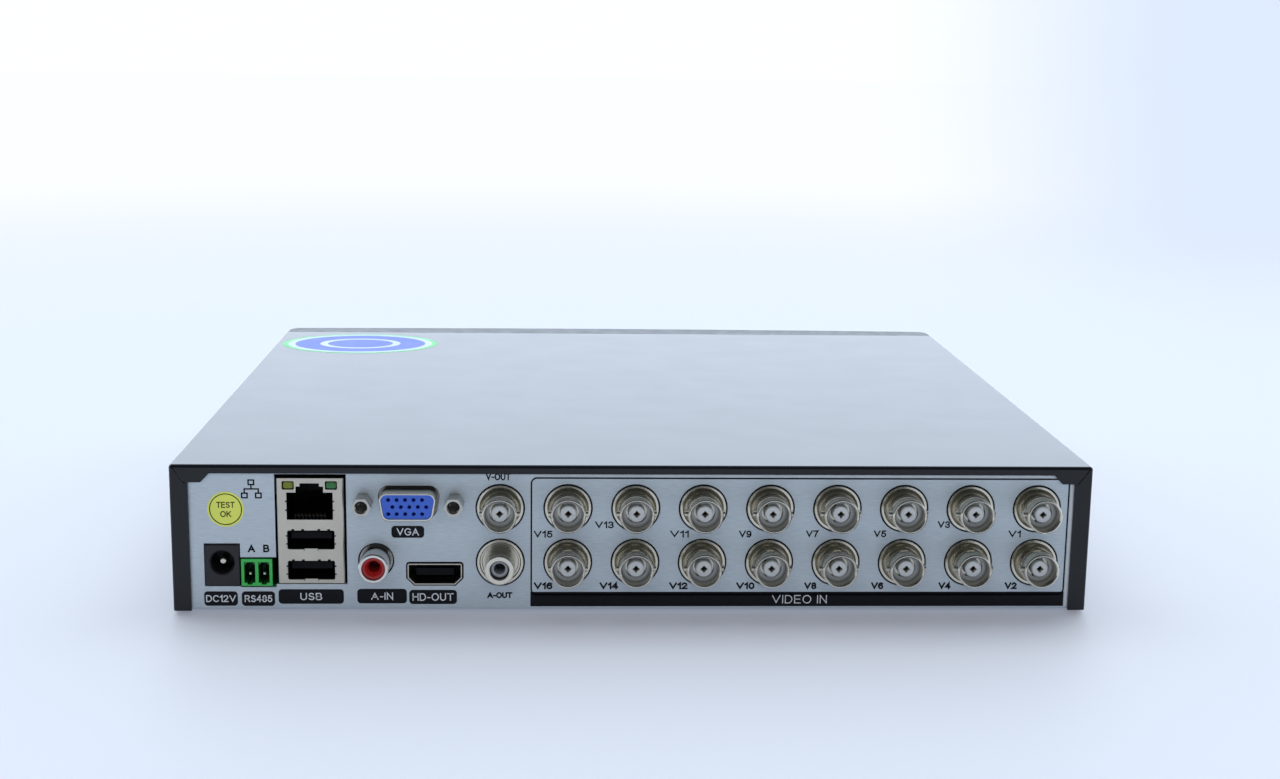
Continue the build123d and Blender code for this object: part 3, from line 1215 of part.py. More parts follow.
# the audio output has the same collar as its neighbours, with a step in the dish, and a thick lip
with BuildPart() as rca_out_jack:
    with BuildSketch(Plane.XZ):
        Polygon(
            (INSULATOR_RADIUS, -SHEET),
            (COLLAR_RADIUS, -SHEET),
            (COLLAR_RADIUS, COLLAR_RIM - 0.15),
            (COLLAR_RADIUS - 0.15, COLLAR_RIM),
            (COLLAR_INNER, COLLAR_RIM),
            (COLLAR_INNER - 0.25, STEP_HEIGHT),
            (COLLAR_INNER - 0.65, STEP_HEIGHT),
            (COLLAR_INNER - 0.8, COLLAR_DISH),
            (RCA_RADIUS, COLLAR_DISH),
            (RCA_RADIUS, RCA_OUT_REACH - 0.3),
            (RCA_RADIUS - 0.3, RCA_OUT_REACH),
            (RCA_OUT_MOUTH + 0.2, RCA_OUT_REACH),
            (RCA_OUT_MOUTH, RCA_OUT_REACH - 0.2),
            (RCA_OUT_MOUTH, 4.0),
            (INSULATOR_RADIUS, 4.0),
            align=None,
        )
    revolve(axis=Axis.Z)

with BuildPart() as rca_out_core:
    with BuildSketch(Plane.XZ):
        Polygon(
            (0, -SHEET),
            (INSULATOR_RADIUS, -SHEET),
            (INSULATOR_RADIUS, 4.0),
            (RCA_OUT_MOUTH, 4.0),
            (RCA_OUT_MOUTH, RCA_OUT_FACE - 0.3),
            (RCA_OUT_MOUTH - 0.3, RCA_OUT_FACE),
            (RCA_HOLE + 0.3, RCA_OUT_FACE),
            (RCA_HOLE, RCA_OUT_FACE - 0.3),
            (RCA_HOLE, 0),
            (0, 0),
            align=None,
        )
    revolve(axis=Axis.Z)

rca_in_shell = at_jacks(rca_in_jack, [AUDIO_IN])
save(rca_in_shell, "rca_in_shell")
rca_in_insulator = at_jacks(rca_in_core, [AUDIO_IN])
save(rca_in_insulator, "rca_in_insulator")
rca_out_shell = at_jacks(rca_out_jack, [AUDIO_OUT])
save(rca_out_shell, "rca_out_shell")
rca_out_insulator = at_jacks(rca_out_core, [AUDIO_OUT])
save(rca_out_insulator, "rca_out_insulator")
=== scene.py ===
import json
import math

import bmesh
import bpy
from mathutils import Matrix, Vector


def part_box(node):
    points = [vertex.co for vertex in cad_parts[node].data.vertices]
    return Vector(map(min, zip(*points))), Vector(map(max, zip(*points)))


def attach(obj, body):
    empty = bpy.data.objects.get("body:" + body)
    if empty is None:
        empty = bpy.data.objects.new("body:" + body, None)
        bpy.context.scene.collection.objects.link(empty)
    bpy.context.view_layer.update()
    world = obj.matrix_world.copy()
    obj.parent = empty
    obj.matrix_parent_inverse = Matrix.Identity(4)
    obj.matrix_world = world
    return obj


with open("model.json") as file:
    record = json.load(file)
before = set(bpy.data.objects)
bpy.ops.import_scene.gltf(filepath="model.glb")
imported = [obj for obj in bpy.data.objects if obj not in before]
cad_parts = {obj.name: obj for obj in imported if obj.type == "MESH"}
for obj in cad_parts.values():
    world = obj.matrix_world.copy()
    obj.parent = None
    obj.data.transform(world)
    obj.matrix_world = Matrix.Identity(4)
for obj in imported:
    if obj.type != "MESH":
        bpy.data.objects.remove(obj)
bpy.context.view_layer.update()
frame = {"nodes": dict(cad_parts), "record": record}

# A desktop video recorder seen from behind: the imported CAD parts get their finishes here,
# and the printing, stickers, contacts and small trim are built around them.
# The frame is the CAD's: metres, +Z up, the rear panel looks along +Y. Places on the rear
# panel are (u, v) in millimetres, from the cover's lower left corner as seen from behind.

MM = 0.001
NODES = frame["nodes"]
BODY = "case"
cover_low, cover_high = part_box("top_cover")
panel_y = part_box("chassis_tray")[1].y
PANEL = Matrix(
    (
        (-MM, 0, 0, cover_high.x),
        (0, 0, MM, panel_y),
        (0, MM, 0, cover_low.z),
        (0, 0, 0, 1),
    )
)
TOP = Matrix(
    (
        (-MM, 0, 0, cover_high.x),
        (0, -MM, 0, cover_high.y),
        (0, 0, MM, cover_high.z),
        (0, 0, 0, 1),
    )
)
MOUNTS = {mount["name"]: Vector(mount["pos_m"]) for mount in frame["record"]["mounts"]}


def panel_place(name):
    """Where a mount lies on the rear panel, as (u, v)."""
    place = PANEL.inverted() @ MOUNTS[name]
    return place.x, place.y


# ---------------------------------------------------------------- shader nodes
def add_node(tree, kind, inputs=None, **settings):
    """A shader node with its settings. Each input takes a value or another node's output."""
    node = tree.nodes.new(kind)
    for name, value in settings.items():
        setattr(node, name, value)
    for socket, value in (inputs or {}).items():
        if isinstance(value, bpy.types.NodeSocket):
            tree.links.new(value, node.inputs[socket])
        else:
            node.inputs[socket].default_value = value
    return node


def blend(tree, factor, start, end, data_type="RGBA"):
    """A mix from start to end. Each is a colour, a number or another node's output."""
    start, end = [(*value, 1) if isinstance(value, tuple) else value for value in (start, end)]
    inputs = {"Factor": factor, "A": start, "B": end}
    return add_node(tree, "ShaderNodeMix", inputs, data_type=data_type).outputs["Result"]


def map_range(tree, source, start, end, low=0, high=1, curve="LINEAR"):
    """The source's range from start to end, laid onto low to high."""
    inputs = {"Value": source, "From Min": start, "From Max": end, "To Min": low, "To Max": high}
    return add_node(tree, "ShaderNodeMapRange", inputs, interpolation_type=curve).outputs["Result"]


def multiply(tree, first, second):
    """The product of two numbers."""
    inputs = {0: first, 1: second}
    return add_node(tree, "ShaderNodeMath", inputs, operation="MULTIPLY").outputs["Value"]


# ---------------------------------------------------------------- finishes
# sizes and depths in millimetres; noise keeps mostly to its middle range
NOISE_MIDDLE = (0.3, 0.7)
PATCH_DETAIL = 2.0
# how sharply, and with how many rays, the painted shade in narrow places is worked out
PAINTED_SHADE_CURVE = 1.4
PAINTED_SHADE_RAYS = 8
PLATED_PATCH = 4.0
PLATED_SMUDGE = 0.04
STREAK_WIDTH = 0.22
STREAK_STRETCH = (14, 1, 1)
STREAK_DEPTH = 0.002
SHEET_PATCH = 25.0
SHEET_SMUDGE = 0.03


def new_material(name, color, roughness, metallic=0.0, **sockets):
    """A material whose constant values sit on the shader's own sockets."""
    material = bpy.data.materials.new(name)
    material.use_nodes = True
    shader = material.node_tree.nodes["Principled BSDF"]
    shader.inputs["Base Color"].default_value = (*color, 1)
    shader.inputs["Roughness"].default_value = roughness
    shader.inputs["Metallic"].default_value = metallic
    for socket, value in sockets.items():
        shader.inputs[socket.replace("_", " ")].default_value = value
    return material, shader


def noise(tree, size_mm, detail=3.0, stretch=(1, 1, 1)):
    """A noise of this feature size in the object's own metres, and stretched along the axes."""
    place = add_node(tree, "ShaderNodeTexCoord").outputs["Object"]
    scale = [1 / (size_mm * MM * s) for s in stretch]
    scaled = add_node(tree, "ShaderNodeMapping", {"Vector": place, "Scale": scale}).outputs["Vector"]
    inputs = {"Vector": scaled, "Scale": 1.0, "Detail": detail}
    return add_node(tree, "ShaderNodeTexNoise", inputs).outputs["Fac"]


def spread(tree, source, low, high):
    """A noise's middle range, spread from low to high."""
    return map_range(tree, source, *NOISE_MIDDLE, low, high)


def smudge_gloss(tree, shader, source, roughness, amount):
    """Lets the roughness vary by this much around its value."""
    gloss = spread(tree, source, roughness - amount, roughness + amount)
    tree.links.new(gloss, shader.inputs["Roughness"])


def relief(tree, shader, source, depth_mm):
    """Raises the surface by the source, this deep."""
    inputs = {"Height": source, "Strength": 1.0, "Distance": depth_mm * MM}
    bump = add_node(tree, "ShaderNodeBump", inputs)
    tree.links.new(bump.outputs["Normal"], shader.inputs["Normal"])


def finish(name, color, roughness, metallic=0.0, grain=0.2, depth=0.004, patch=12.0, vary=0.05,
           smudge=0.04, stretch=(1, 1, 1), **sockets):
    """A real surface: fine grain as relief, uneven colour in patches, and smudged gloss."""
    material, shader = new_material(name, color, roughness, metallic, **sockets)
    tree = material.node_tree
    darker = tuple(c * (1 - vary) for c in color)
    lighter = tuple(min(1, c * (1 + vary)) for c in color)
    patches = spread(tree, noise(tree, patch, PATCH_DETAIL), 0, 1)
    tree.links.new(blend(tree, patches, darker, lighter), shader.inputs["Base Color"])
    smudge_gloss(tree, shader, noise(tree, patch / 3), roughness, smudge)
    relief(tree, shader, noise(tree, grain, stretch=stretch), depth)
    return material


def plated_with_painted_shade(name, dark, light, roughness, metallic, grain, depth, reach_mm):
    """Plating or moulding whose colour is painted darker in narrow places, as painted shade from ambient
    occlusion, with fine turning marks.
    """
    material, shader = new_material(name, light, roughness, metallic)
    tree = material.node_tree
    # painted shade: ambient occlusion turns the colour from light to dark in narrow places
    shade = add_node(tree, "ShaderNodeAmbientOcclusion", {"Distance": reach_mm * MM}, samples=PAINTED_SHADE_RAYS)
    inputs = {0: shade.outputs["AO"], 1: PAINTED_SHADE_CURVE}
    painted_shade_openness = add_node(tree, "ShaderNodeMath", inputs, operation="POWER").outputs["Value"]
    tree.links.new(blend(tree, painted_shade_openness, dark, light), shader.inputs["Base Color"])
    smudge_gloss(tree, shader, noise(tree, PLATED_PATCH), roughness, PLATED_SMUDGE)
    relief(tree, shader, noise(tree, grain), depth)
    return material


def brushed(name, color, light, roughness, metallic):
    """Brushed sheet: fine streaks along X, lighter and darker, over slow changes of gloss."""
    material, shader = new_material(name, color, roughness, metallic)
    tree = material.node_tree
    streaks = noise(tree, STREAK_WIDTH, PATCH_DETAIL, STREAK_STRETCH)
    tree.links.new(blend(tree, spread(tree, streaks, 0, 1), color, light), shader.inputs["Base Color"])
    smudge_gloss(tree, shader, noise(tree, SHEET_PATCH, PATCH_DETAIL), roughness, SHEET_SMUDGE)
    relief(tree, shader, streaks, STREAK_DEPTH)
    return material


SURFACES = {
    "cover_paint": dict(color=(0.004, 0.005, 0.0075), roughness=0.26, grain=0.3, depth=0.003,
                        patch=60.0, vary=0.1, smudge=0.008, IOR=1.45),
    "bezel_plastic": dict(color=(0.01, 0.011, 0.014), roughness=0.42, grain=0.3),
    "window_smoke": dict(color=(0.006, 0.006, 0.008), roughness=0.06, grain=3.0, depth=0.001,
                         smudge=0.02, Coat_Weight=0.6, Coat_Roughness=0.03),
    "button_plastic": dict(color=(0.05, 0.052, 0.058), roughness=0.38),
    "foot_rubber": dict(color=(0.012, 0.012, 0.013), roughness=0.8, grain=0.3, depth=0.02),
    "screw_steel": dict(color=(0.16, 0.16, 0.17), roughness=0.32, metallic=1.0, grain=0.15, depth=0.003),
    "bright_steel": dict(color=(0.6, 0.6, 0.61), roughness=0.25, metallic=1.0, grain=0.15, depth=0.002),
    "standoff_brass": dict(color=(0.72, 0.53, 0.25), roughness=0.25, metallic=1.0, grain=0.15,
                           depth=0.002),
    "board_green": dict(color=(0.012, 0.11, 0.04), roughness=0.3, grain=0.8, depth=0.01, vary=0.25),
    "chip_black": dict(color=(0.02, 0.02, 0.021), roughness=0.5, grain=0.1, depth=0.006),
    "part_black": dict(color=(0.012, 0.012, 0.013), roughness=0.42, grain=0.15),
    "led_clear": dict(color=(0.7, 0.78, 0.85), roughness=0.1, grain=2.0, depth=0.001,
                      Transmission_Weight=0.5),
    "ir_dark": dict(color=(0.03, 0.01, 0.015), roughness=0.12, grain=2.0, depth=0.001),
    "sink_aluminium": dict(color=(0.62, 0.63, 0.65), roughness=0.35, metallic=1.0, depth=0.005,
                           stretch=(1, 20, 1)),
    "drive_aluminium": dict(color=(0.4, 0.41, 0.43), roughness=0.5, metallic=1.0, grain=0.3, depth=0.03),
    "drive_steel": dict(color=(0.62, 0.62, 0.64), roughness=0.3, metallic=1.0, stretch=(25, 1, 1)),
    "disc_mirror": dict(color=(0.8, 0.81, 0.83), roughness=0.04, metallic=1.0, grain=5.0, depth=0.0002,
                        smudge=0.01, vary=0.01),
    "capacitor_sleeve": dict(color=(0.02, 0.035, 0.09), roughness=0.25, grain=1.0, depth=0.005),
    "cable_red": dict(color=(0.4, 0.02, 0.015), roughness=0.4, grain=1.0, depth=0.01),
    "cable_black": dict(color=(0.015, 0.015, 0.015), roughness=0.45, grain=1.0, depth=0.01),
    "ribbon_grey": dict(color=(0.4, 0.4, 0.41), roughness=0.45, grain=0.6, depth=0.05,
                        stretch=(1, 60, 60)),
    # jack_black: black plastic, painted darker than its own black and with little shine, as painted shade
    # inside the sockets
    "jack_black": dict(color=(0.003, 0.003, 0.004), roughness=0.45, depth=0.003, Specular_IOR_Level=0.15),
    "light_amber": dict(color=(0.22, 0.25, 0.02), roughness=0.3, grain=0.4, Subsurface_Weight=0.4,
                        Subsurface_Scale=0.002),
    "light_green": dict(color=(0.04, 0.2, 0.055), roughness=0.3, grain=0.4, Subsurface_Weight=0.4,
                        Subsurface_Scale=0.002),
    "vga_blue": dict(color=(0.045, 0.14, 0.68), roughness=0.4, vary=0.08),
    "inlet_black": dict(color=(0.014, 0.013, 0.018), roughness=0.4, depth=0.003),
    "ink_dark": dict(color=(0.006, 0.007, 0.010), roughness=0.5, grain=0.3, depth=0.003,
                     Specular_IOR_Level=0.2),
    "ink_white": dict(color=(0.8, 0.84, 0.88), roughness=0.45, grain=0.3, depth=0.003),
    "bare_edge": dict(color=(0.75, 0.8, 0.85), roughness=0.35, grain=0.3, depth=0.002),
    "sticker_lime": dict(color=(0.85, 0.92, 0.15), roughness=0.3, grain=0.5, vary=0.04),
    "sticker_pale": dict(color=(0.62, 0.72, 0.86), roughness=0.6, grain=0.5, Specular_IOR_Level=0.1),
    "sticker_blue": dict(color=(0.2, 0.27, 0.9), roughness=0.6, grain=0.5, Specular_IOR_Level=0.1),
    "sticker_green": dict(color=(0.25, 0.7, 0.35), roughness=0.6, grain=0.5, Specular_IOR_Level=0.1),
    # wire_gold: gold contacts painted far darker than gold, as painted shade of the sockets' deep insides
    "wire_gold": dict(color=(0.09, 0.065, 0.03), roughness=0.35, metallic=1.0, depth=0.001),
}
# what the plating with painted shade takes: the dark colour painted into narrow places as shade, the
# light colour in the open, roughness, metallic, grain, depth, and the reach of the painted shade
PAINTED_SHADE_PLATINGS = {
    "terminal_green": ((0.001, 0.008, 0.002), (0.05, 0.56, 0.10), 0.35, 0.0, 0.3, 0.002, 4.0),
    "nickel": ((0.52, 0.49, 0.41), (0.74, 0.70, 0.60), 0.22, 1.0, 0.15, 0.0001, 4.0),
    "shield_nickel": ((0.10, 0.095, 0.08), (0.64, 0.60, 0.51), 0.36, 1.0, 0.25, 0.002, 2.0),
    "contact_gold": ((0.004, 0.003, 0.002), (0.6, 0.45, 0.2), 0.3, 1.0, 0.1, 0.0005, 4.0),
    "insulator_red": ((0.07, 0.004, 0.004), (0.58, 0.025, 0.025), 0.35, 0.0, 0.3, 0.002, 2.5),
    "insulator_white": ((0.04, 0.04, 0.04), (0.66, 0.69, 0.71), 0.35, 0.0, 0.3, 0.002, 0.9),
    "jackscrew_steel": ((0.14, 0.13, 0.11), (0.50, 0.48, 0.44), 0.12, 1.0, 0.15, 0.0003, 2.0),
    "vga_nickel": ((0.07, 0.065, 0.055), (0.72, 0.69, 0.62), 0.2, 1.0, 0.15, 0.0003, 6.0),
    "audio_white": ((0.01, 0.014, 0.025), (0.66, 0.71, 0.76), 0.35, 0.0, 0.3, 0.002, 3.0),
    "audio_nickel": ((0.10, 0.095, 0.085), (0.72, 0.70, 0.66), 0.14, 1.0, 0.15, 0.0003, 6.0),
}
# what brushed() takes for the rear panel: colour, streak colour, roughness and metallic
PANEL_PAINT = ((0.54, 0.62, 0.685), (0.64, 0.72, 0.78), 0.42, 0.35)
# nodes that wear a finish of their own instead of their slot's
OWN_FINISHES = {
    "vga_jackscrews": "jackscrew_steel",
    "vga_shell": "vga_nickel",
    "rca_out_insulator": "audio_white",
    "rca_in_shell": "audio_nickel",
    "dc_jack_body": "inlet_black",
}


def build_finishes():
    """Makes every finish by name, and dresses each CAD node in its own or its slot's."""
    made = {name: finish(name, **look) for name, look in SURFACES.items()}
    made |= {name: plated_with_painted_shade(name, *look) for name, look in PAINTED_SHADE_PLATINGS.items()}
    made["panel_paint"] = brushed("panel_paint", *PANEL_PAINT)
    for part in frame["record"]["subparts"]:
        mesh = NODES[part["node"]].data
        mesh.materials.clear()
        mesh.materials.append(made[OWN_FINISHES.get(part["node"], part["material_slot"])])
    return made


FINISHES = build_finishes()


# ---------------------------------------------------------------- building pieces
def add_piece(name, mesh_builder, transform, finish_name, body=BODY):
    """A mesh piece from a bmesh, placed by its transform, that rides on a body."""
    mesh = bpy.data.meshes.new(name)
    mesh_builder.transform(transform)
    mesh_builder.to_mesh(mesh)
    mesh_builder.free()
    mesh.materials.append(FINISHES[finish_name])
    piece = bpy.data.objects.new(name, mesh)
    bpy.context.scene.collection.objects.link(piece)
    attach(piece, body)


def rounded_box(u_low, v_low, u_high, v_high, radius, steps=6):
    """The outline of a rectangle with round corners, anticlockwise."""
    outline = []
    centres = (
        (u_high - radius, v_high - radius, 0),
        (u_low + radius, v_high - radius, 90),
        (u_low + radius, v_low + radius, 180),
        (u_high - radius, v_low + radius, 270),
    )
    for u, v, start in centres:
        for step in range(steps + 1):
            angle = math.radians(start + 90 * step / steps)
            outline.append((u + radius * math.cos(angle), v + radius * math.sin(angle)))
    return outline


def ellipse(u, v, radius_u, radius_v, steps=96):
    """The outline of an ellipse or circle, anticlockwise."""
    turns = [2 * math.pi * step / steps for step in range(steps)]
    return [(u + radius_u * math.cos(t), v + radius_v * math.sin(t)) for t in turns]


def add_slab(builder, outline, bottom, top):
    """A flat slab of this outline, between two heights."""
    low, high = ([builder.verts.new((u, v, height)) for u, v in outline] for height in (bottom, top))
    builder.faces.new(reversed(low))
    builder.faces.new(high)
    for i in range(len(outline)):
        j = (i + 1) % len(outline)
        builder.faces.new((low[i], low[j], high[j], high[i]))
    bmesh.ops.recalc_face_normals(builder, faces=builder.faces)


def add_band(builder, outer, inner, bottom, top):
    """A flat band between two outlines of equal length."""
    count = len(outer)
    rings = [
        [builder.verts.new((u, v, height)) for u, v in outline]
        for outline, height in ((outer, bottom), (outer, top), (inner, top), (inner, bottom))
    ]
    for ring in range(4):
        near, far = rings[ring], rings[(ring + 1) % 4]
        for i in range(count):
            j = (i + 1) % count
            builder.faces.new((near[i], near[j], far[j], far[i]))
    bmesh.ops.recalc_face_normals(builder, faces=builder.faces)


def arc(u, v, radius_u, radius_v, start, end, steps=12):
    """Points along an elliptical arc, from one angle to another in degrees."""
    turns = [math.radians(start + (end - start) * step / steps) for step in range(steps + 1)]
    return [(u + radius_u * math.cos(t), v + radius_v * math.sin(t)) for t in turns]


# plain capitals, digits and a dash, one unit tall, as the middle lines of their strokes
GLYPHS = {
    "A": [[(0, 0), (0.42, 0.94), (0.84, 0)], [(0.14, 0.33), (0.7, 0.33)]],
    "B": [
        [(0, 0), (0, 1), *arc(0.36, 0.76, 0.23, 0.24, 90, -90), (0, 0.52)],
        [(0.3, 0.52), *arc(0.38, 0.26, 0.27, 0.26, 90, -90), (0, 0)],
    ],
    "C": [arc(0.42, 0.5, 0.42, 0.5, 42, 318, 20)],
    "D": [[(0, 0), (0, 1), *arc(0.3, 0.5, 0.42, 0.5, 90, -90, 16), (0, 0)]],
    "E": [[(0.62, 1), (0, 1), (0, 0), (0.64, 0)], [(0, 0.52), (0.57, 0.52)]],
    "G": [[*arc(0.44, 0.5, 0.44, 0.5, 42, 325, 20), (0.84, 0.46), (0.5, 0.46)]],
    "H": [[(0, 0), (0, 1)], [(0.68, 0), (0.68, 1)], [(0, 0.52), (0.68, 0.52)]],
    "I": [[(0, 0), (0, 1)]],
    "K": [[(0, 0), (0, 1)], [(0.64, 1), (0, 0.36)], [(0.24, 0.6), (0.68, 0)]],
    "N": [[(0, 0), (0, 1), (0.68, 0), (0.68, 1)]],
    "O": [arc(0.43, 0.5, 0.43, 0.5, 0, 360, 28)],
    "R": [
        [(0, 0), (0, 1), *arc(0.42, 0.75, 0.25, 0.25, 90, -90), (0, 0.5)],
        [(0.38, 0.5), (0.72, 0)],
    ],
    "S": [[*arc(0.32, 0.75, 0.27, 0.25, 25, 262), *arc(0.33, 0.25, 0.3, 0.25, 82, -158)]],
    "T": [[(0, 1), (0.74, 1)], [(0.37, 1), (0.37, 0)]],
    "U": [[(0, 1), *arc(0.34, 0.34, 0.34, 0.34, 180, 360), (0.68, 1)]],
    "V": [[(0, 1), (0.42, 0.07), (0.84, 1)]],
    "0": [arc(0.3, 0.5, 0.3, 0.5, 0, 360, 24)],
    "1": [[(0, 0.74), (0.26, 1), (0.26, 0)]],
    "2": [[*arc(0.29, 0.71, 0.28, 0.29, 170, -38), (0, 0), (0.6, 0)]],
    "3": [[*arc(0.28, 0.755, 0.25, 0.245, 165, -80), *arc(0.28, 0.26, 0.29, 0.26, 80, -165)]],
    "4": [[(0.46, 0), (0.46, 1), (0, 0.3), (0.62, 0.3)]],
    "5": [[(0.55, 1), (0.13, 1), (0.06, 0.54), *arc(0.29, 0.325, 0.29, 0.325, 125, -162)]],
    "6": [arc(0.3, 0.31, 0.29, 0.31, 0, 360, 20), arc(0.33, 0.5, 0.33, 0.5, 48, 185)],
    "7": [[(0, 1), (0.6, 1), (0.34, 0.5), (0.22, 0)]],
    "8": [arc(0.3, 0.755, 0.245, 0.245, 0, 360, 20), arc(0.3, 0.26, 0.29, 0.26, 0, 360, 20)],
    "9": [arc(0.29, 0.69, 0.29, 0.31, 0, 360, 20), arc(0.26, 0.5, 0.33, 0.5, 5, -132)],
    "-": [[(0, 0.4), (0.3, 0.4)]],
}
LETTER_GAP = 0.3
WORD_GAP = 0.45
LETTER_WEIGHT = 0.31
MITRE_LIMIT = 2.8
SAME_POINT = 1e-6


def add_stroke(builder, line, half_width, bottom, top):
    """A flat raised ribbon along a line, with mitred corners and square ends."""
    points = [Vector(point) for point in line]
    closed = (points[0] - points[-1]).length < SAME_POINT
    if closed:
        points.pop()
    count = len(points)
    rings = []
    for i, point in enumerate(points):
        before = points[i - 1] if i or closed else point
        after = points[(i + 1) % count] if i < count - 1 or closed else point
        into, out = (point - before), (after - point)
        into = into.normalized() if into.length else out.normalized()
        out = out.normalized() if out.length else into
        side = Vector((-into.y, into.x)) + Vector((-out.y, out.x))
        reach = min(2 / side.length_squared, MITRE_LIMIT / side.length) * half_width
        offset = side * reach
        end = Vector((0, 0))
        if not closed and i == 0:
            end = -out * half_width
        if not closed and i == count - 1:
            end = into * half_width
        left, right = point + offset + end, point - offset + end
        rings.append([builder.verts.new((*place, height)) for place, height in
                      ((left, bottom), (left, top), (right, top), (right, bottom))])
    for i in range(count if closed else count - 1):
        near, far = rings[i], rings[(i + 1) % count]
        for k in range(4):
            m = (k + 1) % 4
            builder.faces.new((near[k], far[k], far[m], near[m]))
    if not closed:
        builder.faces.new(rings[0])
        builder.faces.new(reversed(rings[-1]))


def add_letters(builder, text, low, high, bottom, top, weight=LETTER_WEIGHT):
    """Plain lettering that fills the box from low to high, with strokes this wide."""
    strokes, reach = [], 0.0
    for letter in text:
        if letter == " ":
            reach += WORD_GAP
            continue
        glyph = GLYPHS[letter]
        strokes += [[(reach + u, v) for u, v in line] for line in glyph]
        reach += max(u for line in glyph for u, _ in line) + LETTER_GAP
    scale_u = (high[0] - low[0] - weight) / (reach - LETTER_GAP)
    scale_v = high[1] - low[1] - weight
    for line in strokes:
        placed = [
            (low[0] + weight / 2 + u * scale_u, low[1] + weight / 2 + v * scale_v) for u, v in line
        ]
        add_stroke(builder, placed, weight / 2, bottom, top)
    bmesh.ops.recalc_face_normals(builder, faces=builder.faces)


def centred(u, v, wide, tall):
    """The low and high corners of a box about its centre."""
    return (u - wide / 2, v - tall / 2), (u + wide / 2, v + tall / 2)


# ---------------------------------------------------------------- printing on the rear panel
INK = (0.005, 0.03)
INK_OVER = (0.03, 0.05)
BARE_SHEET = (0.003, 0.012)

# dark plates: low and high corner, then the width and height of the word
PILLS = {
    "VGA": ((60.1, 20.75), (69.1, 24.15), 6.1, 2.1),
    "A-IN": ((50.45, 1.85), (64.15, 6.05), 6.1, 2.1),
    "HD-OUT": ((64.8, 1.65), (78.0, 5.75), 11.4, 2.2),
    "DC12V": ((8.4, 1.2), (17.6, 5.35), 8.2, 2.0),
    "RS485": ((18.7, 1.15), (27.8, 5.35), 7.6, 2.0),
    "USB": ((28.8, 1.75), (46.75, 5.95), 6.0, 2.1),
}
PILL_CORNER = 1.0

# the frame line round the video inputs, and the bar with their title along its foot
FRAME_LEFT = 98.4
FRAME_RIGHT = 248.9
FRAME_TOP = 38.05
FRAME_LINE = 0.45
FRAME_CORNER = 1.8
FRAME_UNDER_BAR = 1
BAR_TOP = 5.15
BAR_BOTTOM = 0.95
BAR_CORNER = 0.1
BAR_TITLE = ((166.1, 1.75), (181.6, 4.2))
TITLE_WEIGHT = 0.26

# where the number of each video input stands, as its middle
CHANNELS = {
    15: (101.9, 21.8), 13: (118.85, 24.5), 11: (139.75, 21.9), 9: (158.1, 21.9),
    7: (176.85, 22.0), 5: (195.9, 22.0), 3: (213.8, 24.7), 1: (233.95, 22.0),
    16: (101.95, 6.9), 14: (120.25, 6.9), 12: (139.7, 6.9), 10: (158.5, 6.9),
    8: (176.8, 6.9), 6: (195.7, 6.9), 4: (214.8, 6.9), 2: (233.65, 6.9),
}
CHANNEL_HEIGHT = 2.0
CHANNEL_WIDTH = 3.5
TWO_DIGIT_WIDTH = 5.2
UPPER_WEIGHT = 0.4
LOWER_WEIGHT = 0.5

# words printed straight on the panel: middle, size and stroke
WORDS = (
    ("V-OUT", (89.5, 38.15), (6.9, 2.0), 0.38),
    ("A-OUT", (89.9, 4.2), (7.0, 1.75), 0.42),
    ("A", (21.7, 17.65), (2.0, 2.2), 0.46),
    ("B", (25.75, 17.65), (1.7, 2.2), 0.46),
)

# the network sign: three boxes, each a band between two outlines, and the lines that join them
NETWORK_BOXES = ((22.05, 36.4), (20.2, 32.7), (24.0, 32.7))
NETWORK_BOX_OUTER = (0.95, 0.85, 0.15)
NETWORK_BOX_INNER = (0.54, 0.44, 0.08)
NETWORK_LINES = (
    ((21.85, 34.6), (22.25, 35.55)),
    ((20.0, 34.34), (24.2, 34.74)),
    ((20.0, 33.55), (20.4, 34.5)),
    ((23.8, 33.55), (24.2, 34.5)),
)
NETWORK_LINE_CORNER = 0.02

# strips of bare sheet above the frame line and beside it: low and high corner
BARE_GAP = 0.35
BARE_STRIPS = (((FRAME_LEFT, FRAME_TOP + BARE_GAP), (245.5, 39.1)), ((249.2, 1.0), (250.1, 36.6)))
BARE_CORNER = 0.1

# the round sticker on the panel
INSPECTION_PLACE = (15.0, 28.8)
INSPECTION_RADIUS = 4.95
INSPECTION_RING = (4.47, 4.2)
INSPECTION_SHEET = (0.005, 0.08)
INSPECTION_INK = (0.08, 0.1)
INSPECTION_WORDS = (("TEST", 1.25, 5.0), ("OK", -1.35, 3.0))
INSPECTION_WORD_HEIGHT = 1.7
INSPECTION_WEIGHT = 0.27

# the oval sticker on the cover, whose bands go from one share of its size to another
OVAL_PLACE = (31.5, 196.0)
OVAL_SIZE = (29.0, 21.0)
OVAL_BANDS = (
    ("cover_sticker_rim", "sticker_green", 1.0, 0.93),
    ("cover_sticker_band", "sticker_pale", 0.93, 0.84),
    ("cover_sticker_field", "sticker_blue", 0.84, 0.52),
    ("cover_sticker_centre", "sticker_pale", 0.52, 0.42),
    ("cover_sticker_middle", "sticker_blue", 0.42, 0.0),
)


def print_pills():
    """Dark rounded plates and the title bar, with light words on them."""
    plates, words = bmesh.new(), bmesh.new()
    for text, (low, high, wide, tall) in PILLS.items():
        add_slab(plates, rounded_box(*low, *high, PILL_CORNER), *INK)
        middle = ((low[0] + high[0]) / 2, (low[1] + high[1]) / 2)
        add_letters(words, text, *centred(*middle, wide, tall), *INK_OVER)
    add_slab(plates, rounded_box(FRAME_LEFT, BAR_BOTTOM, FRAME_RIGHT, BAR_TOP, BAR_CORNER), *INK)
    add_letters(words, "VIDEO IN", *BAR_TITLE, *INK_OVER, weight=TITLE_WEIGHT)
    add_piece("label_plates", plates, PANEL, "ink_dark")
    add_piece("label_words", words, PANEL, "ink_white")


